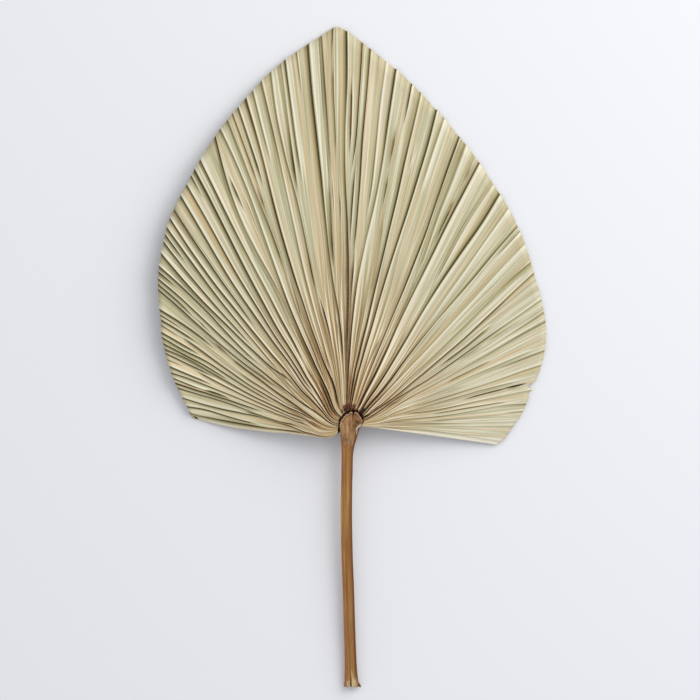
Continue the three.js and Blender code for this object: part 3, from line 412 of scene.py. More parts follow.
ROWS = np.concatenate([
    np.linspace(0, 0.05, 6, endpoint=False),
    np.linspace(0.05, 0.25, 9, endpoint=False),
    np.linspace(0.25, 1.0, 24),
])
tears = [(78.1, 1.0, 9.5), (80.4, 0.8, 3.2), (-1.0, 0.25, 1.5), (31.2, 0.3, 1.2)]
edge_wave = waves(11, 30, 0.5, 9)
fold_rng = np.random.default_rng(3)
fold_tint = fold_rng.normal(0, 1, NF)
rib = fold_rng.normal(0, 1, (NF, 2)) * 0.28
tan_left = np.clip(fold_rng.normal(0.25, 0.45, NF), 0, 1)
tan_gap = np.clip(fold_rng.normal(0.05, 0.50, (NF, 2)), 0, 1)
tan_wave = [waves(900 + k, 3, 2, 9) for k in range(NF)]

G = {name: [] for name in ("t", "r", "z", "crease_shade", "crest", "tint", "tan", "share")}
for row in ROWS:
    f, a, b, rise, present = state(row)
    cols = across(a, b)
    t = np.concatenate([[FIRST], cols.ravel()[:-1], [LAST]])
    t = np.maximum.accumulate(t + np.arange(len(t)) * 1e-5)
    edge = reach(t)
    for at, half, deep in tears:
        edge = edge - deep * np.clip(1 - np.abs(t - at) / half, 0, 1)
    z = heights(t, a, b, rise)
    fine = np.zeros((NF, 8))
    sway = np.array([w(row) for w in lean])
    fine[:, 6:] = rib * (1 + 0.6 * sway[:, None])
    z = z + np.concatenate([[0], fine.ravel()[:-1], [0]]) * smoothstep(0.05, 0.25, row)
    edge = edge + (0.20 * z + 0.30 * edge_wave(t)) * smoothstep(0.9, 1.0, row)
    r = root(t) + (edge - root(t)) * row
    lift = curve(LIFT_T, LIFT_Z, t)
    zz = lift + (HUB_HEIGHT - lift) * (1 - row) ** DROOP + z
    slope = np.abs(rise) / np.maximum((b - a) * np.radians(1) * fold_reach * np.maximum(f, 0.08), 0.4)
    strength = smoothstep(0.12, 0.95, slope) * present
    # painted shade on the steep faces, full on the narrow faces near the hub, and a painted highlight on the crests
    up = SIGN > 0
    crease_shade = np.where(up[:, None], CREASE_SHADE_UP, CREASE_SHADE_DOWN) * strength[:, None]
    crest = np.where(up[:, None], CREST_HIGHLIGHT_UP, CREST_HIGHLIGHT_DOWN) * (present * smoothstep(0.05, 0.5, slope))[:, None]
    tan = np.zeros((NF, 8))
    tw = np.clip(0.5 + 0.8 * np.array([w(row) for w in tan_wave]), 0, 1.2)
    tan[:, 0] = tan_left * tw
    tan[:, 1] = tan_left * tw * 0.8
    tan[:, 6] = tan_gap[:, 0] * tw
    tan[:, 7] = tan_gap[:, 1] * (1.2 - tw)
    tint = np.repeat(fold_tint[:, None], 8, 1)
    tint[:, 5:] = tint[:, 5:] * 0.5 + rib[:, :1] * 1.5
    pad = lambda v: np.concatenate([[v.ravel()[0]], v.ravel()[:-1], [v.ravel()[-1]]])
    G["t"].append(t); G["r"].append(r); G["z"].append(zz)
    G["crease_shade"].append(pad(crease_shade)); G["crest"].append(pad(crest))
    G["tan"].append(pad(tan)); G["tint"].append(pad(tint))
    G["share"].append(r / reach(t))
G = {k: np.array(v) for k, v in G.items()}
turn = np.radians(G["t"] + bend(G["t"], G["r"] / reach(G["t"])))
X = HUB_X + G["r"] * np.sin(turn)
Y = HUB_Y + G["r"] * np.cos(turn)
# the rough seam along the middle, and old scars: (x, y, half length, half width) in mm
SEAM_X, SEAM_LOW, SEAM_HIGH = -5.4, -52.0, 170.0
seam_wave, seam_grit = waves(51, 5, 0.02, 0.12), waves(52, 14, 0.3, 2.2)
seam_x = SEAM_X + 0.45 * seam_wave(Y)
seam_wide = 1.0 + 1.1 * smoothstep(-40, 60, Y) * (1 - smoothstep(60, 160, Y)) * 0.5 + 0.25 * seam_grit(Y)
seam = np.exp(-(((X - seam_x) / np.maximum(seam_wide, 0.35)) ** 2)) * smoothstep(SEAM_LOW - 10, SEAM_LOW, Y) * (1 - smoothstep(SEAM_HIGH - 60, SEAM_HIGH, Y))
G["z"] = G["z"] + 0.8 * seam * (0.6 + 0.5 * seam_grit(Y * 1.3 + X))
SCARS = [(121.6, 193.2, 2.6, 1.3), (104.6, 160.1, 3.6, 1.2), (51.7, 40.4, 3.2, 1.4), (-3.0, 250.0, 1.6, 0.8), (71.0, 98.0, 1.8, 0.9)]
scar = np.zeros_like(X)
for sx, sy, long, wide in SCARS:
    along = np.array([sx - HUB_X, sy - HUB_Y])
    along = along / np.hypot(*along)
    dx, dy = X - sx, Y - sy
    u, v = dx * along[0] + dy * along[1], dx * along[1] - dy * along[0]
    scar = np.maximum(scar, np.exp(-((u / long) ** 2) - (v / wide) ** 2))
# torn reddish shreds round the crest, and painted shade: near-black spots where gaps and tears lie in shadow: (x, y,
# half length, half width, turned) in mm
RUST = [(-6.4, -53.6, 4.0, 3.2, 0), (-0.6, -53.8, 3.2, 3.4, 0), (4.8, -56.2, 2.2, 1.8, 0), (-10.2, -57.6, 1.6, 1.4, 0), (1.8, -51.6, 2.6, 2.0, 0), (-3.6, -51.2, 3.0, 1.8, 0)]
SHADED_HOLES = [(-6.9, -56.2, 2.7, 1.9, 20), (-5.8, -58.4, 3.4, 1.0, 30), (0.9, -57.2, 0.9, 3.0, 0), (9.4, -60.6, 3.4, 1.6, -45), (10.6, -56.4, 4.4, 1.4, 40), (-14.2, -66.4, 1.3, 3.6, -25), (13.4, -62.4, 4.0, 0.9, 22), (-166.0, -64.4, 4.2, 1.5, 12), (172.4, -30.6, 13.0, 0.8, 12.9)]


def spots(table, x, y):
    total = np.zeros_like(x)
    for sx, sy, a, b, turned in table:
        c, s = math.cos(math.radians(turned)), math.sin(math.radians(turned))
        u, v = (x - sx) * c + (y - sy) * s, (y - sy) * c - (x - sx) * s
        total = np.maximum(total, np.exp(-(((u / a) ** 2 + (v / b) ** 2) ** 1.5)))
    return total


rust, hole_shade = spots(RUST, X, Y), spots(SHADED_HOLES, X, Y)
# low on the left the creases fade into brown papery tissue before they reach the hub: the painted crease shade is cut
# back there
papery = (1 - smoothstep(0.09, 0.21, G["share"])) * (1 - smoothstep(-54, -44, G["t"]))
G["crease_shade"] = G["crease_shade"] * (1 - 0.72 * papery)
G["tan"] = np.maximum(G["tan"], 0.55 * papery)
crumbs = np.sin(X * 2.7 + Y * 1.9) * np.sin(Y * 2.3 - X * 1.3) + 0.6 * np.sin(X * 5.1 - Y * 4.3)
G["z"] = G["z"] + rust * (0.5 + 0.45 * crumbs) - 1.2 * hole_shade
# round the hub the sheet turns down to the stalk, out of sight under the crest
turned_in, fallen = [], []
for q, low in ((0.92, 22.75), (0.40, 22.75), (0.16, 23.2), (0.05, 25.6)):
    away = np.hypot(X[0] - HUB_X, Y[0] - HUB_Y)
    k = 1 + (8.3 / away - 1) * q
    turned_in.append((HUB_X + (X[0] - HUB_X) * k, HUB_Y + (Y[0] - HUB_Y) * k))
    fallen.append(low + (G["z"][0] - HUB_HEIGHT) * (0.5 if q < 0.1 else 0))
X = np.concatenate([np.array([p[0] for p in turned_in]), X])
Y = np.concatenate([np.array([p[1] for p in turned_in]), Y])
G["z"] = np.concatenate([np.array(fallen), G["z"]])
# the turned-down rows round the hub get strong painted crease shade
for name, first in (("crease_shade", 0.9), ("crest", 0.0), ("tan", 0.0), ("tint", 0.0), ("share", 0.04)):
    G[name] = np.concatenate([np.full((4, X.shape[1]), first), G[name]])
G["t"] = np.concatenate([np.repeat(G["t"][:1], 4, 0), G["t"]])
G["r"] = np.concatenate([np.repeat(G["r"][:1], 4, 0), G["r"]])
seam, scar = np.concatenate([seam[:4] * 0, seam]), np.concatenate([scar[:4] * 0, scar])
# painted shade: the left of the turn-down, away from the light, is near-black; its right shows rusty shreds
shaded_side = 1 - smoothstep(-30, -10, G["t"][:4])
rust, hole_shade = np.concatenate([0.9 * (1 - shaded_side), rust]), np.concatenate([0.2 + 0.8 * shaded_side, hole_shade])
ROWS = np.concatenate([[0, 0.001, 0.002, 0.003], 0.004 + 0.996 * ROWS])
# both lower edges show the sheet's pale rim
right_edge, left_edge = smoothstep(95.2, 96.6, G["t"]), 1 - smoothstep(-87.2, -85.6, G["t"])
G["crest"] = np.maximum(G["crest"], 0.9 * right_edge * (G["share"] > 0.05))
G["crest"] = np.maximum(G["crest"], 0.45 * left_edge * (G["share"] > 0.05))
G["tan"] = np.maximum(G["tan"], 0.9 * left_edge * (1 - smoothstep(0.1, 0.9, G["share"])))
G["crease_shade"] = G["crease_shade"] * (1 - 0.9 * np.maximum(right_edge, left_edge) * (G["share"] > 0.05))
Z = np.maximum(G["z"], SHEET)
nrow, ncol = X.shape

top = np.stack([X, Y, Z], -1).reshape(-1, 3)
under = top - [0, 0, SHEET]
count = len(top)
r_, c_ = np.meshgrid(np.arange(nrow - 1), np.arange(ncol - 1), indexing="ij")
A = (r_ * ncol + c_).ravel()
B, D = A + 1, A + ncol
E = D + 1
rim = np.concatenate([
    np.arange(0, ncol - 1),
    np.arange(nrow - 1) * ncol + ncol - 1,
    (nrow - 1) * ncol + np.arange(ncol - 1, 0, -1),
    np.arange(nrow - 1, 0, -1) * ncol,
])
nxt = np.roll(rim, -1)
quads = np.concatenate([
    np.stack([A, B, E, D], 1),
    np.stack([A, D, E, B], 1) + count,
    np.stack([rim, rim + count, nxt + count, nxt], 1),
])
blade = grid_mesh("palm_blade", np.concatenate([top, under]) * MM, quads)
print("blade quads", len(quads), "columns", ncol, "rows", nrow)


def both(values):
    v = np.array(values).ravel()
    return np.concatenate([v, v])


for name in ("crease_shade", "crest", "tint", "tan", "share"):
    point_attribute(blade, name, both(G[name]))
point_attribute(blade, "angle", both(G["t"]))
point_attribute(blade, "seam", both(seam))
point_attribute(blade, "rust", both(rust))
point_attribute(blade, "hole_shade", both(hole_shade))
point_attribute(blade, "scar", both(np.clip(scar * 1.2, 0, 0.85)))

# a flat map for baking: the upper face above, the underside below, folds upright
uv = blade.data.uv_layers.new(name="OFBake")
col_u = 0.5 * np.arange(ncol) / (ncol - 1) + 0.5 * (G["t"][-1] - FIRST) / (LAST - FIRST)
row_v = ROWS
U = np.tile(0.005 + 0.99 * col_u, nrow)
V = np.repeat(row_v, ncol)
loops = np.empty(len(blade.data.loops), np.int32)
blade.data.loops.foreach_get("vertex_index", loops)
upper = np.zeros(len(loops), bool)
upper[: 4 * len(A)] = True
idx = loops % count
coords = np.stack([U[idx], np.where(upper, 0.385 + 0.61 * V[idx], 0.005 + 0.36 * V[idx])], 1)
edge_loops = np.zeros(len(loops), bool)
edge_loops[8 * len(A):] = True
coords[edge_loops, 1] = np.where(loops[edge_loops] >= count, 0.367, 0.378)
uv.data.foreach_set("uv", coords.astype(np.float32).ravel())

# ------------------------------------------------------------------ petiole

# the stalk, foot first: x, y, z of the middle, width, depth
STALK = [
    [-0.8, -349.6, 3.95, 15.0, 8.2], [-0.8, -346.8, 4.15, 14.6, 8.6], [-1.3, -333.8, 4.7, 12.8, 8.8],
    [-1.9, -313.8, 5.7, 11.8, 8.8], [-3.0, -282.8, 7.3, 11.6, 8.9], [-4.1, -245.8, 9.0, 11.6, 9.0],
    [-5.5, -205.8, 10.9, 11.6, 9.0], [-6.0, -155.8, 13.4, 11.4, 9.1], [-5.5, -123.8, 15.1, 11.5, 9.2],
    [-4.7, -95.8, 16.6, 13.0, 9.5], [-3.4, -83.8, 17.2, 17.0, 9.8], [-2.0, -71.8, 17.6, 20.0, 9.4],
    [-2.4, -55.8, 17.4, 15.0, 7.6], [-3.2, -35.8, 16.0, 9.0, 4.8], [-3.6, -13.8, 13.6, 4.0, 2.2],
]
STALK_A = np.array(STALK)
SIDES = 96


def stalk_at(y):
    """Middle x and z, width and depth of the stalk at y."""
    return [curve(STALK_A[:, 1], STALK_A[:, k], y) for k in (0, 2, 3, 4)]


def bump_at(x, y, cx, cy, rx, ry, turned=0.0):
    """A soft round spot: 1 in the middle, 0 well outside."""
    c, s = math.cos(math.radians(turned)), math.sin(math.radians(turned))
    u, v = (x - cx) * c + (y - cy) * s, (y - cy) * c - (x - cx) * s
    return np.exp(-((u / rx) ** 2) - (v / ry) ** 2)


ring_y = np.concatenate([
    np.linspace(-349.6, -326, 34, endpoint=False),
    np.linspace(-326, -96, 76, endpoint=False),
    np.linspace(-96, -13.8, 32),
])
YR, AR = np.meshgrid(ring_y, np.arange(SIDES) * 2 * np.pi / SIDES, indexing="ij")
cx, cz, cw, cd = stalk_at(YR)
foot = 1 - smoothstep(-349.6, -330, YR)
end = 1 - smoothstep(-349.6, -343, YR)
up = np.where(np.sin(AR) > 0, np.abs(np.sin(AR)) ** 0.62, np.sin(AR))
# long fibres and shallow grooves, and a flat strip where the old sheath came off
ridge = np.zeros_like(YR)
for k in range(10):
    n, phase, slow, amp = rng.integers(5, 23), rng.uniform(0, 6.28), rng.uniform(0.004, 0.016), rng.uniform(0.04, 0.13)
    ridge += amp * np.sin(AR * n + phase + 1.3 * np.sin(YR * slow + phase * 2))
for k in range(5):
    n, phase, slow = rng.integers(24, 40), rng.uniform(0, 6.28), rng.uniform(0.01, 0.05)
    ridge += 0.045 * np.sin(AR * n + phase + 0.8 * np.sin(YR * slow + phase))
grooves = [(1.25, 0.10, 0.40), (1.95, 0.08, 0.30), (0.62, 0.07, 0.22), (2.62, 0.07, 0.28)]
for at, wide, deep in grooves:
    d = np.angle(np.exp(1j * (AR - at - 0.10 * np.sin(YR * 0.021 + at * 3) - 0.05 * np.sin(YR * 0.06))))
    ridge -= deep * np.exp(-((d / wide) ** 2)) * (0.7 + 0.3 * np.sin(YR * 0.04 + at * 5))
fade = 1 - smoothstep(-60, -14, YR) * 0.7
half_w, half_d = cw / 2 + ridge * fade, cd / 2 + ridge * fade
PX = cx + half_w * np.cos(AR)
PZ = cz + half_d * up
PY = YR.copy()
# the foot is split along the middle into two fibrous lobes and frays at the cut
split_x = -1.35 + 0.012 * (YR + 331)
upper = smoothstep(-0.2, 0.35, np.sin(AR))
groove = np.exp(-(((PX - split_x) / (0.55 + 0.75 * end)) ** 2)) * upper
PZ -= groove * (0.6 * smoothstep(0, 1, foot) + 3.0 * end)
lobes = np.sin(AR * 17 + 2.1) * 0.30 + np.sin(AR * 31 + 0.7) * 0.18
PX += lobes * np.cos(AR) * end
PZ += lobes * np.sin(AR) * end
PY -= end * (0.55 * np.sin(AR * 9 + 0.5) + 0.40 * np.sin(AR * 23 + 1.1) - 0.35) * 0.9
# the right-hand corner of the cut flares out to a point
flare = (1 - smoothstep(-349.6, -342.5, YR)) * smoothstep(0.80, 1.0, np.cos(AR - 0.05))
PX += 2.5 * flare**1.5
PY -= 0.5 * flare
# the shallow strip left along one side by the sheath (the spread under the crest is in the stalk table)
strip = bump_at(0 * YR, YR, 0, -164, 1, 22) * smoothstep(0.55, 0.95, -np.cos(AR)) * smoothstep(-0.4, 0.2, np.sin(AR))
PX -= 0.35 * strip
PY = np.clip(PY, -350.35, None)
PZ = np.maximum(PZ, 0.02)

stalk_verts = [np.stack([PX, PY, PZ], -1).reshape(-1, 3)]
n_ring = len(ring_y)
# the cut end is a hollow of broken fibres; the far end closes to a point
caps = []
for inward, depth in ((0.86, 0.25), (0.66, 1.4), (0.42, 1.9), (0.20, 1.5), (0.06, 1.7)):
    mx, mz = float(cx[0, 0]), float(cz[0, 0])
    ang = AR[0]
    rough = 0.5 * np.sin(ang * 13 + inward * 40) + 0.4 * np.sin(ang * 7 + inward * 17)
    caps.append(np.stack([
        mx + (PX[0] - mx) * inward, np.clip(PY[0] + depth + 0.7 * rough * smoothstep(0, 0.5, depth / 2), -350.3, None),
        mz + (PZ[0] - mz) * inward], -1))
stalk_verts.append(np.concatenate(caps))
cap_start = n_ring * SIDES
centre_a = cap_start + len(caps) * SIDES
stalk_verts.append(np.array([[float(cx[0, 0]), -347.9, float(cz[0, 0])]]))
centre_b = centre_a + 1
stalk_verts.append(np.array([[float(cx[-1, 0]), -13.0, float(cz[-1, 0])]]))
V = np.concatenate(stalk_verts)
faces = []
for i in range(n_ring - 1):
    for s in range(SIDES):
        q = (s + 1) % SIDES
        a, b, c, d = i * SIDES + s, i * SIDES + q, (i + 1) * SIDES + q, (i + 1) * SIDES + s
        faces.append((a, d, c, b))
rings = [0] + [cap_start + k * SIDES for k in range(len(caps))]
for o, p in zip(rings[:-1], rings[1:]):
    for s in range(SIDES):
        q = (s + 1) % SIDES
        faces.append((o + s, o + q, p + q, p + s))
for s in range(SIDES):
    q = (s + 1) % SIDES
    faces.append((rings[-1] + s, rings[-1] + q, centre_a))
    last = (n_ring - 1) * SIDES
    faces.append((last + q, last + s, centre_b))


def tube(path, radius, sides, flat=0.6):
    """A closed fibre along a path of points, thinning to both ends."""
    path = np.asarray(path, float)
    n = len(path)
    out, fs = [], []
    along = np.gradient(path, axis=0)
    for i in range(n):
        d = along[i] / np.linalg.norm(along[i])
        side = np.cross(d, [0, 0, 1.0])
        side /= max(np.linalg.norm(side), 1e-6)
        lift = np.cross(side, d)
        w = radius * (0.25 + 0.75 * math.sin(math.pi * min(max((i + 0.6) / n, 0.0), 1.0)) ** 0.5)
        for s in range(sides):
            a = 2 * math.pi * s / sides
            out.append(path[i] + side * w * math.cos(a) + lift * w * flat * math.sin(a))
    for i in range(n - 1):
        for s in range(sides):
            q = (s + 1) % sides
            fs.append((i * sides + s, i * sides + q, (i + 1) * sides + q, (i + 1) * sides + s))
    fs.append(tuple(range(sides - 1, -1, -1)))
    fs.append(tuple((n - 1) * sides + s for s in range(sides)))
    return np.array(out), fs


# broken fibres lying along the foot: (x at the cut, y of the upper end, x there, radius, pale)
def top_of(x, y):
    c, z, w, d = [float(v) for v in stalk_at(np.array(y))]
    k = min(abs((x - c) / (w / 2)), 0.98)
    return z + d / 2 * (1 - k * k) ** 0.31


pale_marks = []
fibre_list = [
    (0.4, -331.0, -1.2, 0.75, 1.0), (1.9, -340.5, 1.5, 0.60, 0.9), (3.0, -342.0, 2.8, 0.65, 1.0), (4.2, -343.5, 4.0, 0.55, 0.8),
    (-4.4, -343.0, -4.3, 0.60, 0.75), (-2.9, -343.8, -3.0, 0.50, 0.6), (-6.0, -344.5, -5.8, 0.50, 0.5), (5.6, -344.5, 5.2, 0.45, 0.4),
    (1.1, -344.0, 0.7, 0.45, 0.8), (-3.6, -346.0, -3.5, 0.40, 0.7),
]
base = len(V)
fibres, fibre_pale = [], []
for fx, fy, fx2, radius, pale_v in fibre_list:
    low_y = -349.7 - 0.5 * rng.random()
    path = []
    for u in np.linspace(0, 1, 12):
        x = fx2 + (fx - fx2) * u + 0.15 * math.sin(6 * u + fx)
        y = fy + (low_y - fy) * u
        z = top_of(x, max(y, -349.0)) - 0.16 + 0.30 * radius * u - 1.1 * math.exp(-((x + 1.2) / 0.9) ** 2) * u
        path.append((x, y, z))
    v, fcs = tube(path, radius, 7)
    faces += [tuple(base + i for i in f) for f in fcs]
    base += len(v)
    fibres.append(v)
    fibre_pale.append(np.full(len(v), pale_v))
V = np.concatenate([V] + fibres)
V[:, 1] = np.clip(V[:, 1], -350.38, None)
petiole = mesh_object("palm_petiole", V * MM, faces)
body = n_ring * SIDES
x_, y_, z_ = V.T
sx, sz, sw, sd = stalk_at(np.clip(y_, -349.6, -13.8))
point_attribute(petiole, "side", (x_ - sx) / (sw / 2))
foot_v = 1 - smoothstep(-349.8, -332, y_)
cream = np.zeros(len(V))
cream[:body] = (
    1.0 * bump_at(x_, y_, 3.0, -347.0, 2.0, 5.2) + 0.85 * bump_at(x_, y_, -5.2, -346.8, 0.9, 3.2) + 0.75 * bump_at(x_, y_, -2.9, -346.6, 0.7, 3.0)
    + 0.7 * bump_at(x_, y_, 0.6, -342.0, 0.7, 8.0)
)[:body]
cream[body:centre_b + 1] = 0.55
cream[centre_b + 1:] = np.concatenate(fibre_pale)
point_attribute(petiole, "cream", np.clip(cream, 0, 1))
# painted shade down the split of the foot, plus a dark spot by the crest and a darker right corner at the cut
split_shade_and_marks = np.exp(-(((x_ - (-1.35 + 0.012 * (y_ + 331))) / (0.5 + 0.5 * foot_v)) ** 2)) * (1 - smoothstep(-346, -322, y_))
split_shade_and_marks = split_shade_and_marks + 0.9 * bump_at(x_, y_, -6.1, -86.6, 1.2, 1.0) + 0.6 * smoothstep(6.2, 8.2, x_) * (1 - smoothstep(-349, -345, y_))
split_shade_and_marks[centre_b + 1:] = 0
point_attribute(petiole, "dark", np.clip(split_shade_and_marks, 0, 1))
strip_v = np.exp(-(((y_ + 164) / 24) ** 4)) * smoothstep(-0.74, -0.95, (x_ - sx) / (sw / 2) + 0.10 * np.sin(y_ * 0.05))
point_attribute(petiole, "strip", strip_v)

# ------------------------------------------------------------------ hastula

CREST = [
    [-8.2, -95.5], [-9.6, -91.0], [-10.8, -86.8], [-12.2, -80.8], [-13.1, -75.8], [-13.1, -71.3], [-12.1, -67.6], [-10.1, -64.8],
    [-8.2, -62.4], [-6.6, -60.7], [-4.9, -60.2], [-3.9, -59.9], [-2.4, -58.6], [-1.2, -57.5], [0.3, -58.0], [0.8, -60.9], [1.3, -60.6], [2.6, -58.1],
    [4.9, -58.0], [6.2, -60.0], [7.5, -62.0], [9.0, -63.8], [10.2, -65.4], [10.5, -67.6], [10.4, -69.4], [8.8, -71.0], [6.4, -72.2], [4.4, -73.8], [3.8, -76.4],
    [3.7, -79.4], [3.0, -83.0], [2.3, -87.0], [1.4, -91.0], [0.6, -94.6], [-3.6, -97.0],
]
CREST_X, CREST_Y = -1.8, -70.5
COLS, RINGS = 260, 34
loop = np.array(CREST + CREST[:1], float)
steps = np.concatenate([[0], np.cumsum(np.hypot(*np.diff(loop, axis=0).T))])
s_at = np.linspace(0, steps[-1], COLS, endpoint=False)
ox, oy = np.interp(s_at, steps, loop[:, 0]), np.interp(s_at, steps, loop[:, 1])
for _ in range(2):
    ox = ox * 0.6 + (np.roll(ox, 1) + np.roll(ox, -1)) * 0.2
    oy = oy * 0.6 + (np.roll(oy, 1) + np.roll(oy, -1)) * 0.2
torn = smoothstep(-74, -66, oy)
rag = 0.36 * waves(61, 9, 0.5, 2.6)(s_at) + 0.28 * waves(62, 9, 2.5, 6.0)(s_at)
out_x, out_y = ox - CREST_X, oy - CREST_Y
out_n = np.hypot(out_x, out_y)
ox = ox + out_x / out_n * rag * torn * 1.5
oy = oy + out_y / out_n * rag * torn * 1.5
lip_rag = waves(63, 12, 0.4, 4.5)(s_at)


def crest_height(x, y, u):
    """Top of the crest; u runs from 0 at the outline to 1 in the middle."""
    ramp = 21.9 + (32.2 - 21.9) * (0.03 + 0.97 * smoothstep(-98, -71, y))
    upper_side = smoothstep(-76, -67, y)
    shoulder = np.sqrt(np.clip(1 - (1 - np.clip(u / 0.55, 0, 1)) ** 2, 0, 1))
    low_side = ramp - (5.2 * (1 - shoulder)) * (1 - upper_side)
    lip = np.exp(-(((u - 0.03) / 0.045) ** 2)) * 1.0 - 1.3 * np.exp(-(((u - 0.16) / 0.08) ** 2))
    h = low_side + lip * upper_side
    h -= 1.5 * np.exp(-(((x - 0.7 - 0.09 * (y + 60)) / 0.75) ** 2)) * smoothstep(-76, -62, y)  # cleft
    h -= 1.7 * bump_at(x, y, 5.1, -68.6, 2.3, 1.4, -10)  # sunken spot of the right lobe
    h += 0.9 * bump_at(x, y, 5.6, -64.6, 2.4, 2.2, 20)
    h += 0.8 * bump_at(x, y, -5.6, -77.0, 2.0, 5.5, 4)  # long swelling down the left
    h -= 0.6 * bump_at(x, y, -8.7, -73.0, 0.6, 5.0, 8) + 0.5 * bump_at(x, y, -2.5, -72.5, 0.6, 6.5, -5)
    h -= 0.7 * bump_at(x, y, 1.0, -79.0, 0.7, 6.0, -6)
    h -= 0.6 * bump_at(x, y, -6.0, -86.6, 1.3, 1.0)
    long = 0.20 * np.sin(x * 2.9 + 0.8 * np.sin(y * 0.35)) + 0.13 * np.sin(x * 5.3 + 1.1 * np.sin(y * 0.5 + 1))
    crumb = 0.16 * np.sin(x * 3.7 + y * 2.9) * np.sin(y * 3.3 - x * 1.9) + 0.10 * np.sin(x * 7.1 - y * 5.2)
    return h + long + crumb * (0.5 + upper_side)


share = np.concatenate([[0.0, 0.0, 0.004, 0.012, 0.022, 0.035], np.linspace(0.055, 0.975, RINGS - 6)])
ring_list = []
for k, u in enumerate(share):
    x, y = ox + (CREST_X - ox) * u, oy + (CREST_Y - oy) * u
    top_z = crest_height(x, y, np.full(COLS, max(u, 0.03) if k > 1 else 0.03))
    floor_z = 20.9 + 2.0 * smoothstep(-92, -80, y)
    if k == 0:
        z = floor_z
        x, y = x - out_x / out_n * 0.6, y - out_y / out_n * 0.6
    elif k == 1:
        z = floor_z + (top_z - floor_z) * 0.45
    elif k == 2:
        z = floor_z + (top_z - floor_z) * 0.85 + 0.3 * lip_rag * torn
    elif k == 3:
        z = top_z - 0.15 + 0.75 * lip_rag * torn
    else:
        z = top_z + 0.75 * lip_rag * torn * math.exp(-((u / 0.05) ** 2))
    ring_list.append(np.stack([x, y, np.maximum(z, floor_z)], -1))
CV = np.concatenate(ring_list + [
    np.array([[CREST_X, CREST_Y, float(crest_height(np.array([CREST_X]), np.array([CREST_Y]), np.array([1.0]))[0])]]),
    np.array([[-3.0, -74.0, 22.6]]),
])
CV[:, 2] = np.minimum(CV[:, 2], 33.6)
faces = []
for i in range(len(share) - 1):
    for s in range(COLS):
        q = (s + 1) % COLS
        faces.append((i * COLS + s, (i + 1) * COLS + s, (i + 1) * COLS + q, i * COLS + q))
last, mid, low_mid = (len(share) - 1) * COLS, len(share) * COLS, len(share) * COLS + 1
for s in range(COLS):
    q = (s + 1) % COLS
    faces.append((last + s, mid, last + q))
    faces.append((s, q, low_mid))


def shred(points, width, curl, thick=0.22):
    """A papery strip: points along it, its width, and how far its outer edge curls up."""
    points = np.asarray(points, float)
    n, m = len(points), 6
    along = np.gradient(points, axis=0)
    vs = []
    for layer in (0, 1):
        for i in range(n):
            d = along[i] / np.linalg.norm(along[i])
            side = np.cross(d, [0, 0, 1.0])
            side /= np.linalg.norm(side)
            taper = 0.35 + 0.65 * math.sin(math.pi * (i + 0.5) / n) ** 0.6
            for j in range(m):
                v = j / (m - 1)
                vs.append(points[i] + side * width * (v - 0.5) * taper + np.array([0, 0, curl * (2 * v - 0.8) ** 2 * taper - layer * thick]))
    fs = []
    for i in range(n - 1):
        for j in range(m - 1):
            a = i * m + j
            fs.append((a, a + 1, a + m + 1, a + m))
            fs.append((n * m + a, n * m + a + m, n * m + a + m + 1, n * m + a + 1))
    edge = list(range(m)) + [i * m + m - 1 for i in range(1, n)] + [(n - 1) * m + j for j in range(m - 2, -1, -1)] + [i * m for i in range(n - 2, 0, -1)]
    for a, b in zip(edge, edge[1:] + edge[:1]):
        fs.append((a, n * m + a, n * m + b, b))
    return np.array(vs), fs


shreds = [
    # the curled flap at the lower right
    ([(9.6, -70.9, 28.9), (8.2, -71.9, 29.6), (6.6, -73.1, 29.9), (5.2, -74.8, 29.6), (4.6, -76.8, 28.6), (4.4, -79.2, 27.0)], 2.3, 1.5, 1.0),
    ([(5.3, -77.2, 27.6), (4.9, -79.0, 26.9), (4.3, -81.6, 25.4)], 1.3, 0.6, 0.9),
    # torn bits of the collar along the top
    ([(-9.8, -65.2, 31.6), (-8.8, -63.6, 32.2), (-7.6, -62.0, 32.4)], 1.2, 0.7, 0.6),
    ([(-6.9, -61.4, 32.2), (-5.4, -60.6, 32.6), (-3.9, -60.3, 32.4)], 1.1, 0.6, 0.55),
    ([(-2.8, -59.3, 32.2), (-1.8, -58.2, 32.7), (-0.9, -57.9, 32.2)], 1.0, 0.6, 0.5),
    ([(2.3, -58.8, 32.0), (3.4, -58.3, 32.6), (4.6, -58.6, 32.2)], 1.0, 0.6, 0.5),
    ([(-12.6, -72.0, 29.8), (-12.2, -69.6, 30.8), (-11.4, -67.2, 31.4)], 1.1, 0.6, 0.5),
]
base = len(CV)
extra, pinks = [], []
for pts, width, curl, pinkness in shreds:
    pts = np.array(pts)
    u0, u1 = np.linspace(0, 1, len(pts)), np.linspace(0, 1, 16)
    pts = np.stack([curve(u0, pts[:, k], u1) for k in range(3)], -1)
    v, fcs = shred(pts, width, curl)
    v[:, 2] = np.minimum(v[:, 2], 33.9)
    faces += [tuple(base + i for i in f) for f in fcs]
    base += len(v)
    extra.append(v)
    pinks.append(np.full(len(v), pinkness))
body_c = len(CV)
CV = np.concatenate([CV] + extra)
hastula = mesh_object("palm_hastula", CV * MM, faces)
hx, hy, hz = CV.T
u_share = np.concatenate([np.repeat(share, COLS), [1, 0], np.ones(base - body_c)])
rim_v = np.exp(-((u_share / 0.11) ** 2)) * smoothstep(-80, -70, hy)
rim_v[body_c:] = 0.8
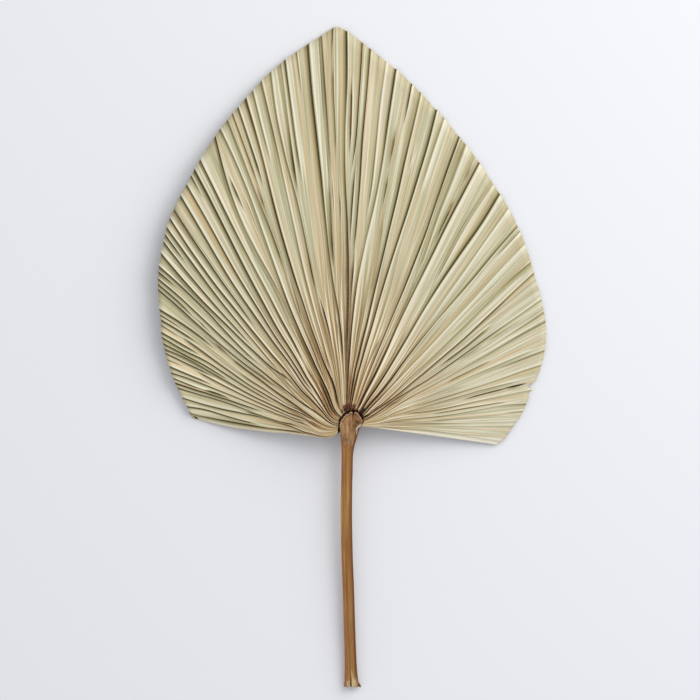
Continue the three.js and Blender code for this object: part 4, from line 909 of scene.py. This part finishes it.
# painted shade in the cleft, the sunken spot, under the curled flap and along the grooves, with a few dark marks of the
# crest's own
crest_shade_and_marks = (
    0.95 * bump_at(hx, hy, 5.1, -68.9, 2.3, 1.5, -8) + 0.55 * bump_at(hx, hy, 3.8, -72.4, 2.6, 1.6, 30) + 0.55 * bump_at(hx, hy, 1.3, -75.0, 0.9, 4.5, -8)
    + 0.75 * np.exp(-(((hx - 0.7 - 0.09 * (hy + 60)) / 0.55) ** 2)) * smoothstep(-70, -62, hy)
    + 0.45 * bump_at(hx, hy, -2.2, -69.5, 0.8, 5.5, -6) + 0.35 * bump_at(hx, hy, -7.8, -70.5, 0.7, 5.0, 6)
    + 0.8 * bump_at(hx, hy, -7.2, -81.6, 0.8, 0.8) + 0.7 * bump_at(hx, hy, -6.0, -86.8, 1.3, 0.9) + 0.4 * bump_at(hx, hy, -4.3, -89.0, 1.5, 0.6)
)
# painted shade under the torn lip along the top
crest_shade_and_marks = crest_shade_and_marks + 0.85 * np.exp(-(((u_share - 0.13) / 0.05) ** 2)) * smoothstep(-68, -62, hy) * smoothstep(-9, -4, hx) * (1 - smoothstep(-3, 0, hx)) * 0.5
light_c = 1.0 * bump_at(hx, hy, -5.4, -77.0, 1.9, 5.2, 4) + 0.75 * bump_at(hx, hy, -10.4, -74.0, 1.5, 5.5, 6) + 0.45 * bump_at(hx, hy, 6.9, -64.8, 1.4, 2.4, 25) + 0.5 * bump_at(hx, hy, -6.5, -65.5, 2.5, 2.5)
red_c = 0.9 * bump_at(hx, hy, -1.3, -68.4, 0.6, 2.0) + 0.55 * bump_at(hx, hy, -9.0, -87.5, 1.1, 2.2) + 0.5 * bump_at(hx, hy, 3.4, -62.2, 1.1, 1.6)
for v in (crest_shade_and_marks, light_c, red_c):
    v[body_c:] = 0
right_c = smoothstep(-0.8, 2.2, hx - 0.05 * (hy + 70)) * smoothstep(-92, -80, hy)
right_c[body_c:] = 0
pink_c = np.zeros(len(CV))
pink_c[body_c:] = np.concatenate(pinks)
for name, v in (("rim", rim_v), ("dark", crest_shade_and_marks), ("light", light_c), ("red", red_c), ("right", right_c), ("pink", pink_c)):
    point_attribute(hastula, name, np.clip(v, 0, 1))


def unwrap(ob):
    """A plain map for baking, each side from its own direction."""
    layer = ob.data.uv_layers.new(name="OFBake")
    for o in bpy.context.selected_objects:
        o.select_set(False)
    bpy.context.view_layer.objects.active = ob
    ob.select_set(True)
    bpy.ops.object.mode_set(mode="EDIT")
    bpy.ops.mesh.select_all(action="SELECT")
    bpy.ops.uv.smart_project(angle_limit=math.radians(66), island_margin=0.004)
    bpy.ops.object.mode_set(mode="OBJECT")
    ob.select_set(False)
    return layer


unwrap(petiole)
unwrap(hastula)

# ------------------------------------------------------------------ materials


class Nodes:
    """Short ways to build a node tree."""

    def __init__(self, name):
        self.mat = bpy.data.materials.new(name)
        self.mat.use_nodes = True
        self.nt = self.mat.node_tree
        self.nt.nodes.clear()
        self.out = self.nt.nodes.new("ShaderNodeOutputMaterial")
        self.bsdf = self.nt.nodes.new("ShaderNodeBsdfPrincipled")
        self.nt.links.new(self.bsdf.outputs[0], self.out.inputs[0])

    def put(self, socket, value):
        if isinstance(value, bpy.types.NodeSocket):
            self.nt.links.new(value, socket)
        elif value is not None:
            if hasattr(socket, "default_value") and hasattr(socket.default_value, "__len__") and len(socket.default_value) == 4 and hasattr(value, "__len__") and len(value) == 3:
                value = (*value, 1)
            socket.default_value = value

    def attr(self, name):
        n = self.nt.nodes.new("ShaderNodeAttribute")
        n.attribute_name = name
        return n.outputs["Fac"]

    def math(self, op, a, b=None, c=None, clamp=False):
        n = self.nt.nodes.new("ShaderNodeMath")
        n.operation = op
        n.use_clamp = clamp
        for s, v in zip(n.inputs, (a, b, c)):
            self.put(s, v)
        return n.outputs[0]

    def vec(self, x=0.0, y=0.0, z=0.0):
        n = self.nt.nodes.new("ShaderNodeCombineXYZ")
        for s, v in zip(n.inputs, (x, y, z)):
            self.put(s, v)
        return n.outputs[0]

    def noise(self, vector, scale=1.0, detail=2.0, rough=0.5):
        n = self.nt.nodes.new("ShaderNodeTexNoise")
        self.put(n.inputs["Vector"], vector)
        n.inputs["Scale"].default_value = scale
        n.inputs["Detail"].default_value = detail
        n.inputs["Roughness"].default_value = rough
        return n.outputs["Fac"]

    def remap(self, value, a, b, c=0.0, d=1.0):
        n = self.nt.nodes.new("ShaderNodeMapRange")
        n.clamp = True
        for s, v in zip(("Value", "From Min", "From Max", "To Min", "To Max"), (value, a, b, c, d)):
            self.put(n.inputs[s], v)
        return n.outputs[0]

    def mix(self, factor, a, b, kind="MIX"):
        n = self.nt.nodes.new("ShaderNodeMix")
        n.data_type = "RGBA"
        n.blend_type = kind
        self.put(n.inputs[0], factor)
        self.put(n.inputs[6], a)
        self.put(n.inputs[7], b)
        return n.outputs[2]

    def object_coords(self):
        return self.nt.nodes.new("ShaderNodeTexCoord").outputs["Object"]

    def separate(self, vector):
        n = self.nt.nodes.new("ShaderNodeSeparateXYZ")
        self.put(n.inputs[0], vector)
        return n.outputs

    def bump(self, height, strength, distance):
        n = self.nt.nodes.new("ShaderNodeBump")
        n.inputs["Strength"].default_value = strength
        n.inputs["Distance"].default_value = distance
        self.put(n.inputs["Height"], height)
        return n.outputs[0]


def blade_material():
    m = Nodes("dried_blade")
    t, f = m.attr("angle"), m.attr("share")
    crest, tint, tan = m.attr("crest"), m.attr("tint"), m.attr("tan")
    # painted crease shade, made stronger near the hub
    near = m.remap(f, 0.30, 0.10)
    crease_shade = m.math("MULTIPLY", m.attr("crease_shade"), m.math("ADD", m.math("MULTIPLY", near, 0.45), 1.0), clamp=True)
    # veins run along the folds: fine across, long down the leaf
    fine = m.noise(m.vec(m.math("MULTIPLY", t, 5.0), m.math("MULTIPLY", f, 5.0)), 1.0, 3.0, 0.65)
    thread = m.noise(m.vec(m.math("MULTIPLY", t, 2.3), m.math("MULTIPLY", f, 1.8), 3.0), 1.0, 2.0, 0.6)
    rib = m.noise(m.vec(m.math("MULTIPLY", t, 1.05), m.math("MULTIPLY", f, 1.6), 12.0), 1.0, 2.0, 0.6)
    broad = m.noise(m.vec(m.math("MULTIPLY", t, 0.35), m.math("MULTIPLY", f, 2.2), 6.0), 1.0, 2.0, 0.5)
    streak = m.noise(m.vec(m.math("MULTIPLY", t, 1.5), m.math("MULTIPLY", f, 0.9), 9.0), 1.0, 1.0, 0.5)
    speck = m.noise(m.object_coords(), 800.0, 2.0, 0.6)
    colour = m.mix(m.remap(broad, 0.35, 0.65), (0.530, 0.530, 0.390), (0.620, 0.585, 0.445))
    colour = m.mix(m.remap(tint, -1.2, 1.6, 0.0, 0.40), colour, (0.440, 0.430, 0.270))
    colour = m.mix(m.remap(rib, 0.47, 0.64, 0.0, 0.60), colour, (0.390, 0.370, 0.215))
    colour = m.mix(m.remap(rib, 0.45, 0.34, 0.0, 0.65), colour, (0.730, 0.690, 0.545))
    colour = m.mix(m.remap(fine, 0.42, 0.60, 0.0, 0.36), colour, (0.400, 0.370, 0.220))
    colour = m.mix(m.remap(thread, 0.54, 0.68, 0.0, 0.50), colour, (0.470, 0.350, 0.190))
    # hairlines, dark and pale, about as wide near the hub as at the margin
    outer = m.noise(m.vec(m.math("MULTIPLY", t, 2.7), m.math("MULTIPLY", f, 2.0), 21.0), 1.0, 2.0, 0.55)
    inner = m.noise(m.vec(m.math("MULTIPLY", t, 1.1), m.math("MULTIPLY", f, 2.6), 33.0), 1.0, 2.0, 0.55)
    which = m.remap(f, 0.32, 0.58)
    hair = m.math("ADD", m.math("MULTIPLY", outer, which), m.math("MULTIPLY", inner, m.math("SUBTRACT", 1.0, which)))
    colour = m.mix(m.remap(hair, 0.53, 0.66, 0.0, 0.62), colour, m.mix(m.remap(f, 0.2, 0.6), (0.260, 0.170, 0.080), (0.300, 0.265, 0.140)))
    colour = m.mix(m.remap(hair, 0.47, 0.35, 0.0, 0.70), colour, (0.790, 0.745, 0.600))
    needle = m.noise(m.vec(m.math("MULTIPLY", t, 2.0), m.math("MULTIPLY", f, 0.8), 41.0), 1.0, 1.0, 0.5)
    colour = m.mix(m.remap(needle, 0.56, 0.64, 0.0, 0.60), colour, (0.640, 0.440, 0.250))
    # tan streaks along the folds
    warm = m.math("MULTIPLY", m.remap(streak, 0.40, 0.60, 0.2, 1.0), tan)
    colour = m.mix(m.math("MULTIPLY", warm, 0.85), colour, (0.600, 0.385, 0.190))
    # warmer and browner towards the hub
    hub = m.remap(f, 0.58, 0.12)
    colour = m.mix(m.math("MULTIPLY", hub, m.remap(inner, 0.36, 0.56, 0.15, 0.88)), colour, m.mix(m.remap(inner, 0.44, 0.58), (0.600, 0.430, 0.225), (0.220, 0.115, 0.036)))
    # yellower towards the hub; the two lower sides a little paler
    yellow = m.mix(m.remap(f, 0.10, 0.50), (1.0, 0.97, 0.84), m.mix(m.remap(t, 30.0, 60.0), (1.0, 0.99, 0.93), (1.0, 1.0, 1.0)))
    colour = m.mix(1.0, colour, yellow, "MULTIPLY")
    side_gain = m.math("ADD", m.math("ADD", m.remap(t, -52.0, -68.0, 0.0, 0.26), m.remap(t, 40.0, 70.0, 0.0, 0.08)), 1.01)
    colour = m.mix(1.0, colour, m.vec(side_gain, side_gain, side_gain), "MULTIPLY")
    colour = m.mix(m.math("MULTIPLY", m.remap(inner, 0.46, 0.38), m.remap(f, 0.50, 0.30, 0.0, 0.80)), colour, (0.800, 0.730, 0.560))
    # painted highlight: a pale line along the crests where light catches the ridges
    pale = m.mix(m.remap(f, 0.1, 0.45), (0.880, 0.780, 0.580), (0.820, 0.775, 0.620))
    colour = m.mix(m.math("MULTIPLY", crest, m.remap(f, 0.10, 0.40, 1.0, 0.88)), colour, pale)
    # painted shade in the creases, with the warm cast of light bounced between the folds: brown near the hub and olive
    # outside, deepest part nearly black
    olive = m.mix(m.remap(f, 0.12, 0.55), (0.330, 0.175, 0.056), (0.370, 0.320, 0.150))
    dark = m.mix(m.remap(f, 0.12, 0.6), (0.120, 0.050, 0.013), (0.190, 0.148, 0.052))
    black = m.mix(m.remap(f, 0.15, 0.6), (0.012, 0.006, 0.002), (0.028, 0.020, 0.007))
    colour = m.mix(m.remap(crease_shade, 0.03, 0.30, 0.0, 0.85), colour, olive)
    colour = m.mix(m.remap(crease_shade, 0.30, 0.60, 0.0, 0.92), colour, dark)
    colour = m.mix(m.remap(crease_shade, 0.58, 0.86, 0.0, 0.95), colour, black)
    # the rough brown seam up the middle, and a few old scars
    seam, scar = m.attr("seam"), m.attr("scar")
    grit = m.noise(m.object_coords(), 800.0, 3.0, 0.7)
    bark = m.mix(m.remap(grit, 0.40, 0.58), (0.036, 0.012, 0.006), (0.220, 0.095, 0.042))
    colour = m.mix(m.math("MULTIPLY", seam, m.remap(grit, 0.30, 0.50, 0.65, 1.0)), colour, bark)
    colour = m.mix(scar, colour, (0.290, 0.150, 0.055))
    shred = m.noise(m.object_coords(), 620.0, 3.0, 0.65)
    rusty = m.mix(m.remap(shred, 0.36, 0.50), (0.015, 0.004, 0.003), m.mix(m.remap(shred, 0.52, 0.66), (0.100, 0.018, 0.012), (0.280, 0.100, 0.055)))
    colour = m.mix(m.remap(m.attr("rust"), 0.15, 0.55, 0.0, 0.92), colour, rusty)
    # painted shade: near-black in the shadowed gaps and tears
    colour = m.mix(m.remap(m.math("ADD", m.attr("hole_shade"), m.math("MULTIPLY", shred, 0.35)), 0.45, 0.80), colour, (0.010, 0.007, 0.005))
    colour = m.mix(m.remap(speck, 0.38, 0.75, 0.0, 0.10), colour, (0.42, 0.37, 0.23))
    m.put(m.bsdf.inputs["Base Color"], colour)
    m.put(m.bsdf.inputs["Roughness"], m.remap(fine, 0.3, 0.7, 0.60, 0.76))
    m.bsdf.inputs["Specular IOR Level"].default_value = 0.12
    lines = m.noise(m.vec(m.math("MULTIPLY", t, 6.5), m.math("MULTIPLY", f, 3.0), 2.0), 1.0, 2.0, 0.55)
    relief = m.math("ADD", m.math("ADD", lines, m.math("MULTIPLY", thread, 1.2)), m.math("MULTIPLY", speck, 0.22))
    m.put(m.bsdf.inputs["Normal"], m.bump(relief, 0.5, 0.0006))
    return m.mat


blade.data.materials.append(blade_material())
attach(blade, "root")
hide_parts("blade")


def stalk_material():
    m = Nodes("stalk")
    p = m.separate(m.object_coords())
    side, cream, dark, strip = m.attr("side"), m.attr("cream"), m.attr("dark"), m.attr("strip")
    grain = m.noise(m.vec(m.math("MULTIPLY", p[0], 1500.0), m.math("MULTIPLY", p[1], 26.0), m.math("MULTIPLY", p[2], 1500.0)), 1.0, 3.0, 0.6)
    vein = m.noise(m.vec(m.math("MULTIPLY", p[0], 520.0), m.math("MULTIPLY", p[1], 9.0), m.math("MULTIPLY", p[2], 300.0)), 1.0, 2.0, 0.55)
    gold = m.noise(m.vec(m.math("MULTIPLY", p[0], 330.0), m.math("MULTIPLY", p[1], 13.0), m.math("MULTIPLY", p[2], 200.0)), 1.0, 2.0, 0.5)
    blotch = m.noise(m.object_coords(), 42.0, 2.0, 0.55)
    colour = m.mix(m.remap(vein, 0.38, 0.62), (0.270, 0.112, 0.028), (0.355, 0.168, 0.046))
    colour = m.mix(m.remap(gold, 0.50, 0.64, 0.0, 0.75), colour, (0.450, 0.250, 0.070))
    colour = m.mix(m.remap(blotch, 0.46, 0.66, 0.0, 0.40), colour, (0.310, 0.155, 0.062))
    colour = m.mix(m.remap(grain, 0.46, 0.66, 0.0, 0.45), colour, (0.165, 0.075, 0.026))
    # redder along the left edge, deep brown along the right
    colour = m.mix(m.remap(side, -0.55, -0.85, 0.0, 0.75), colour, (0.430, 0.160, 0.045))
    colour = m.mix(m.remap(side, 0.50, 0.78, 0.0, 0.92), colour, (0.130, 0.048, 0.010))
    colour = m.mix(m.math("MULTIPLY", strip, 0.85), colour, (0.560, 0.330, 0.130))
    fibre = m.mix(m.remap(grain, 0.40, 0.60), (0.740, 0.640, 0.400), (0.520, 0.360, 0.160))
    # painted shade down the split foot, with the dark marks (attribute dark)
    colour = m.mix(m.math("MULTIPLY", dark, 0.85), colour, (0.075, 0.038, 0.012))
    colour = m.mix(m.math("MULTIPLY", cream, 0.90), colour, fibre)
    m.put(m.bsdf.inputs["Base Color"], colour)
    m.put(m.bsdf.inputs["Roughness"], m.remap(grain, 0.3, 0.7, 0.48, 0.64))
    m.bsdf.inputs["Specular IOR Level"].default_value = 0.22
    m.put(m.bsdf.inputs["Normal"], m.bump(m.math("ADD", grain, m.math("MULTIPLY", vein, 0.8)), 0.35, 0.0004))
    return m.mat


def crest_material():
    m = Nodes("crest")
    p = m.separate(m.object_coords())
    rim, dark, light, red, right, pink = (m.attr(n) for n in ("rim", "dark", "light", "red", "right", "pink"))
    cork = m.noise(m.vec(m.math("MULTIPLY", p[0], 900.0), m.math("MULTIPLY", p[1], 300.0), m.math("MULTIPLY", p[2], 500.0)), 1.0, 3.0, 0.6)
    long = m.noise(m.vec(m.math("MULTIPLY", p[0], 620.0), m.math("MULTIPLY", p[1], 60.0), m.math("MULTIPLY", p[2], 200.0)), 1.0, 2.0, 0.55)
    crumb = m.noise(m.object_coords(), 900.0, 2.0, 0.6)
    colour = m.mix(m.remap(long, 0.36, 0.62), (0.310, 0.160, 0.072), (0.470, 0.275, 0.125))
    colour = m.mix(m.math("MULTIPLY", right, 0.80), colour, m.mix(m.remap(cork, 0.4, 0.6), (0.330, 0.180, 0.058), (0.240, 0.110, 0.036)))
    colour = m.mix(m.remap(cork, 0.50, 0.66, 0.0, 0.50), colour, (0.180, 0.090, 0.050))
    colour = m.mix(m.math("MULTIPLY", light, 0.85), colour, m.mix(m.remap(crumb, 0.4, 0.62), (0.640, 0.395, 0.175), (0.500, 0.300, 0.140)))
    colour = m.mix(m.math("MULTIPLY", red, 0.75), colour, (0.300, 0.080, 0.055))
    # painted shade in the cleft and hollows, with a few dark marks (attribute dark)
    colour = m.mix(m.math("MULTIPLY", dark, 0.88), colour, (0.075, 0.042, 0.022))
    paper = m.mix(m.remap(cork, 0.38, 0.60), (0.760, 0.540, 0.340), (0.500, 0.300, 0.165))
    colour = m.mix(m.math("MULTIPLY", rim, 0.85), colour, paper)
    colour = m.mix(m.math("MULTIPLY", pink, 0.85), colour, m.mix(m.remap(crumb, 0.4, 0.6), (0.560, 0.390, 0.300), (0.680, 0.540, 0.400)))
    m.put(m.bsdf.inputs["Base Color"], colour)
    m.put(m.bsdf.inputs["Roughness"], m.remap(cork, 0.3, 0.7, 0.62, 0.82))
    m.bsdf.inputs["Specular IOR Level"].default_value = 0.12
    m.put(m.bsdf.inputs["Normal"], m.bump(m.math("ADD", cork, m.math("MULTIPLY", crumb, 0.5)), 0.5, 0.0006))
    return m.mat


for piece, node, slot, material in (
    (petiole, "petiole", "stalk", stalk_material()),
    (hastula, "hastula", "crest", crest_material()),
):
    piece.data.materials.append(material)
    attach(piece, "root")
    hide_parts(node)

# ------------------------------------------------------------------ floor, light, camera

bpy.ops.mesh.primitive_plane_add(size=14, location=(0, 0, 0))
floor = bpy.context.object
floor.name = "floor"
fm = Nodes("floor_paint")
fm.bsdf.inputs["Base Color"].default_value = (0.80, 0.80, 0.815, 1)
fm.bsdf.inputs["Roughness"].default_value = 0.9
fm.bsdf.inputs["Specular IOR Level"].default_value = 0.1
floor.data.materials.append(fm.mat)
floor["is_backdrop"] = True


def area(name, azimuth, elevation, distance, size, power, colour=(1, 1, 1)):
    """A square softbox; azimuth is clockwise from +Y, seen from above."""
    light = bpy.data.lights.new(name, "AREA")
    light.shape = "SQUARE"
    light.size = size
    light.energy = power
    light.color = colour
    ob = bpy.data.objects.new(name, light)
    a, e = math.radians(azimuth), math.radians(elevation)
    away = Vector((math.sin(a) * math.cos(e), math.cos(a) * math.cos(e), math.sin(e)))
    ob.location = away * distance
    ob.rotation_mode = "QUATERNION"
    ob.rotation_quaternion = away.to_track_quat("Z", "Y")
    bpy.context.scene.collection.objects.link(ob)


area("key", 50, 34, 2.9, 2.6, 64, (1.0, 0.99, 0.97))
world = bpy.data.worlds.new("studio")
world.use_nodes = True
world.node_tree.nodes["Background"].inputs[0].default_value = (0.93, 0.95, 1.0, 1)
world.node_tree.nodes["Background"].inputs[1].default_value = 0.745
bpy.context.scene.world = world
bpy.context.scene.view_settings.view_transform = "Standard"

cam_data = bpy.data.cameras.new("camera")
cam_data.lens = 200
cam_data.sensor_width = 36
cam_data.clip_end = 50
cam = bpy.data.objects.new("camera", cam_data)
cam.location = (-0.00234, 0.00757, 4.118 + 0.012)
cam.rotation_euler = (0, 0, 0)
bpy.context.scene.collection.objects.link(cam)
bpy.context.scene.camera = cam

low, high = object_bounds()
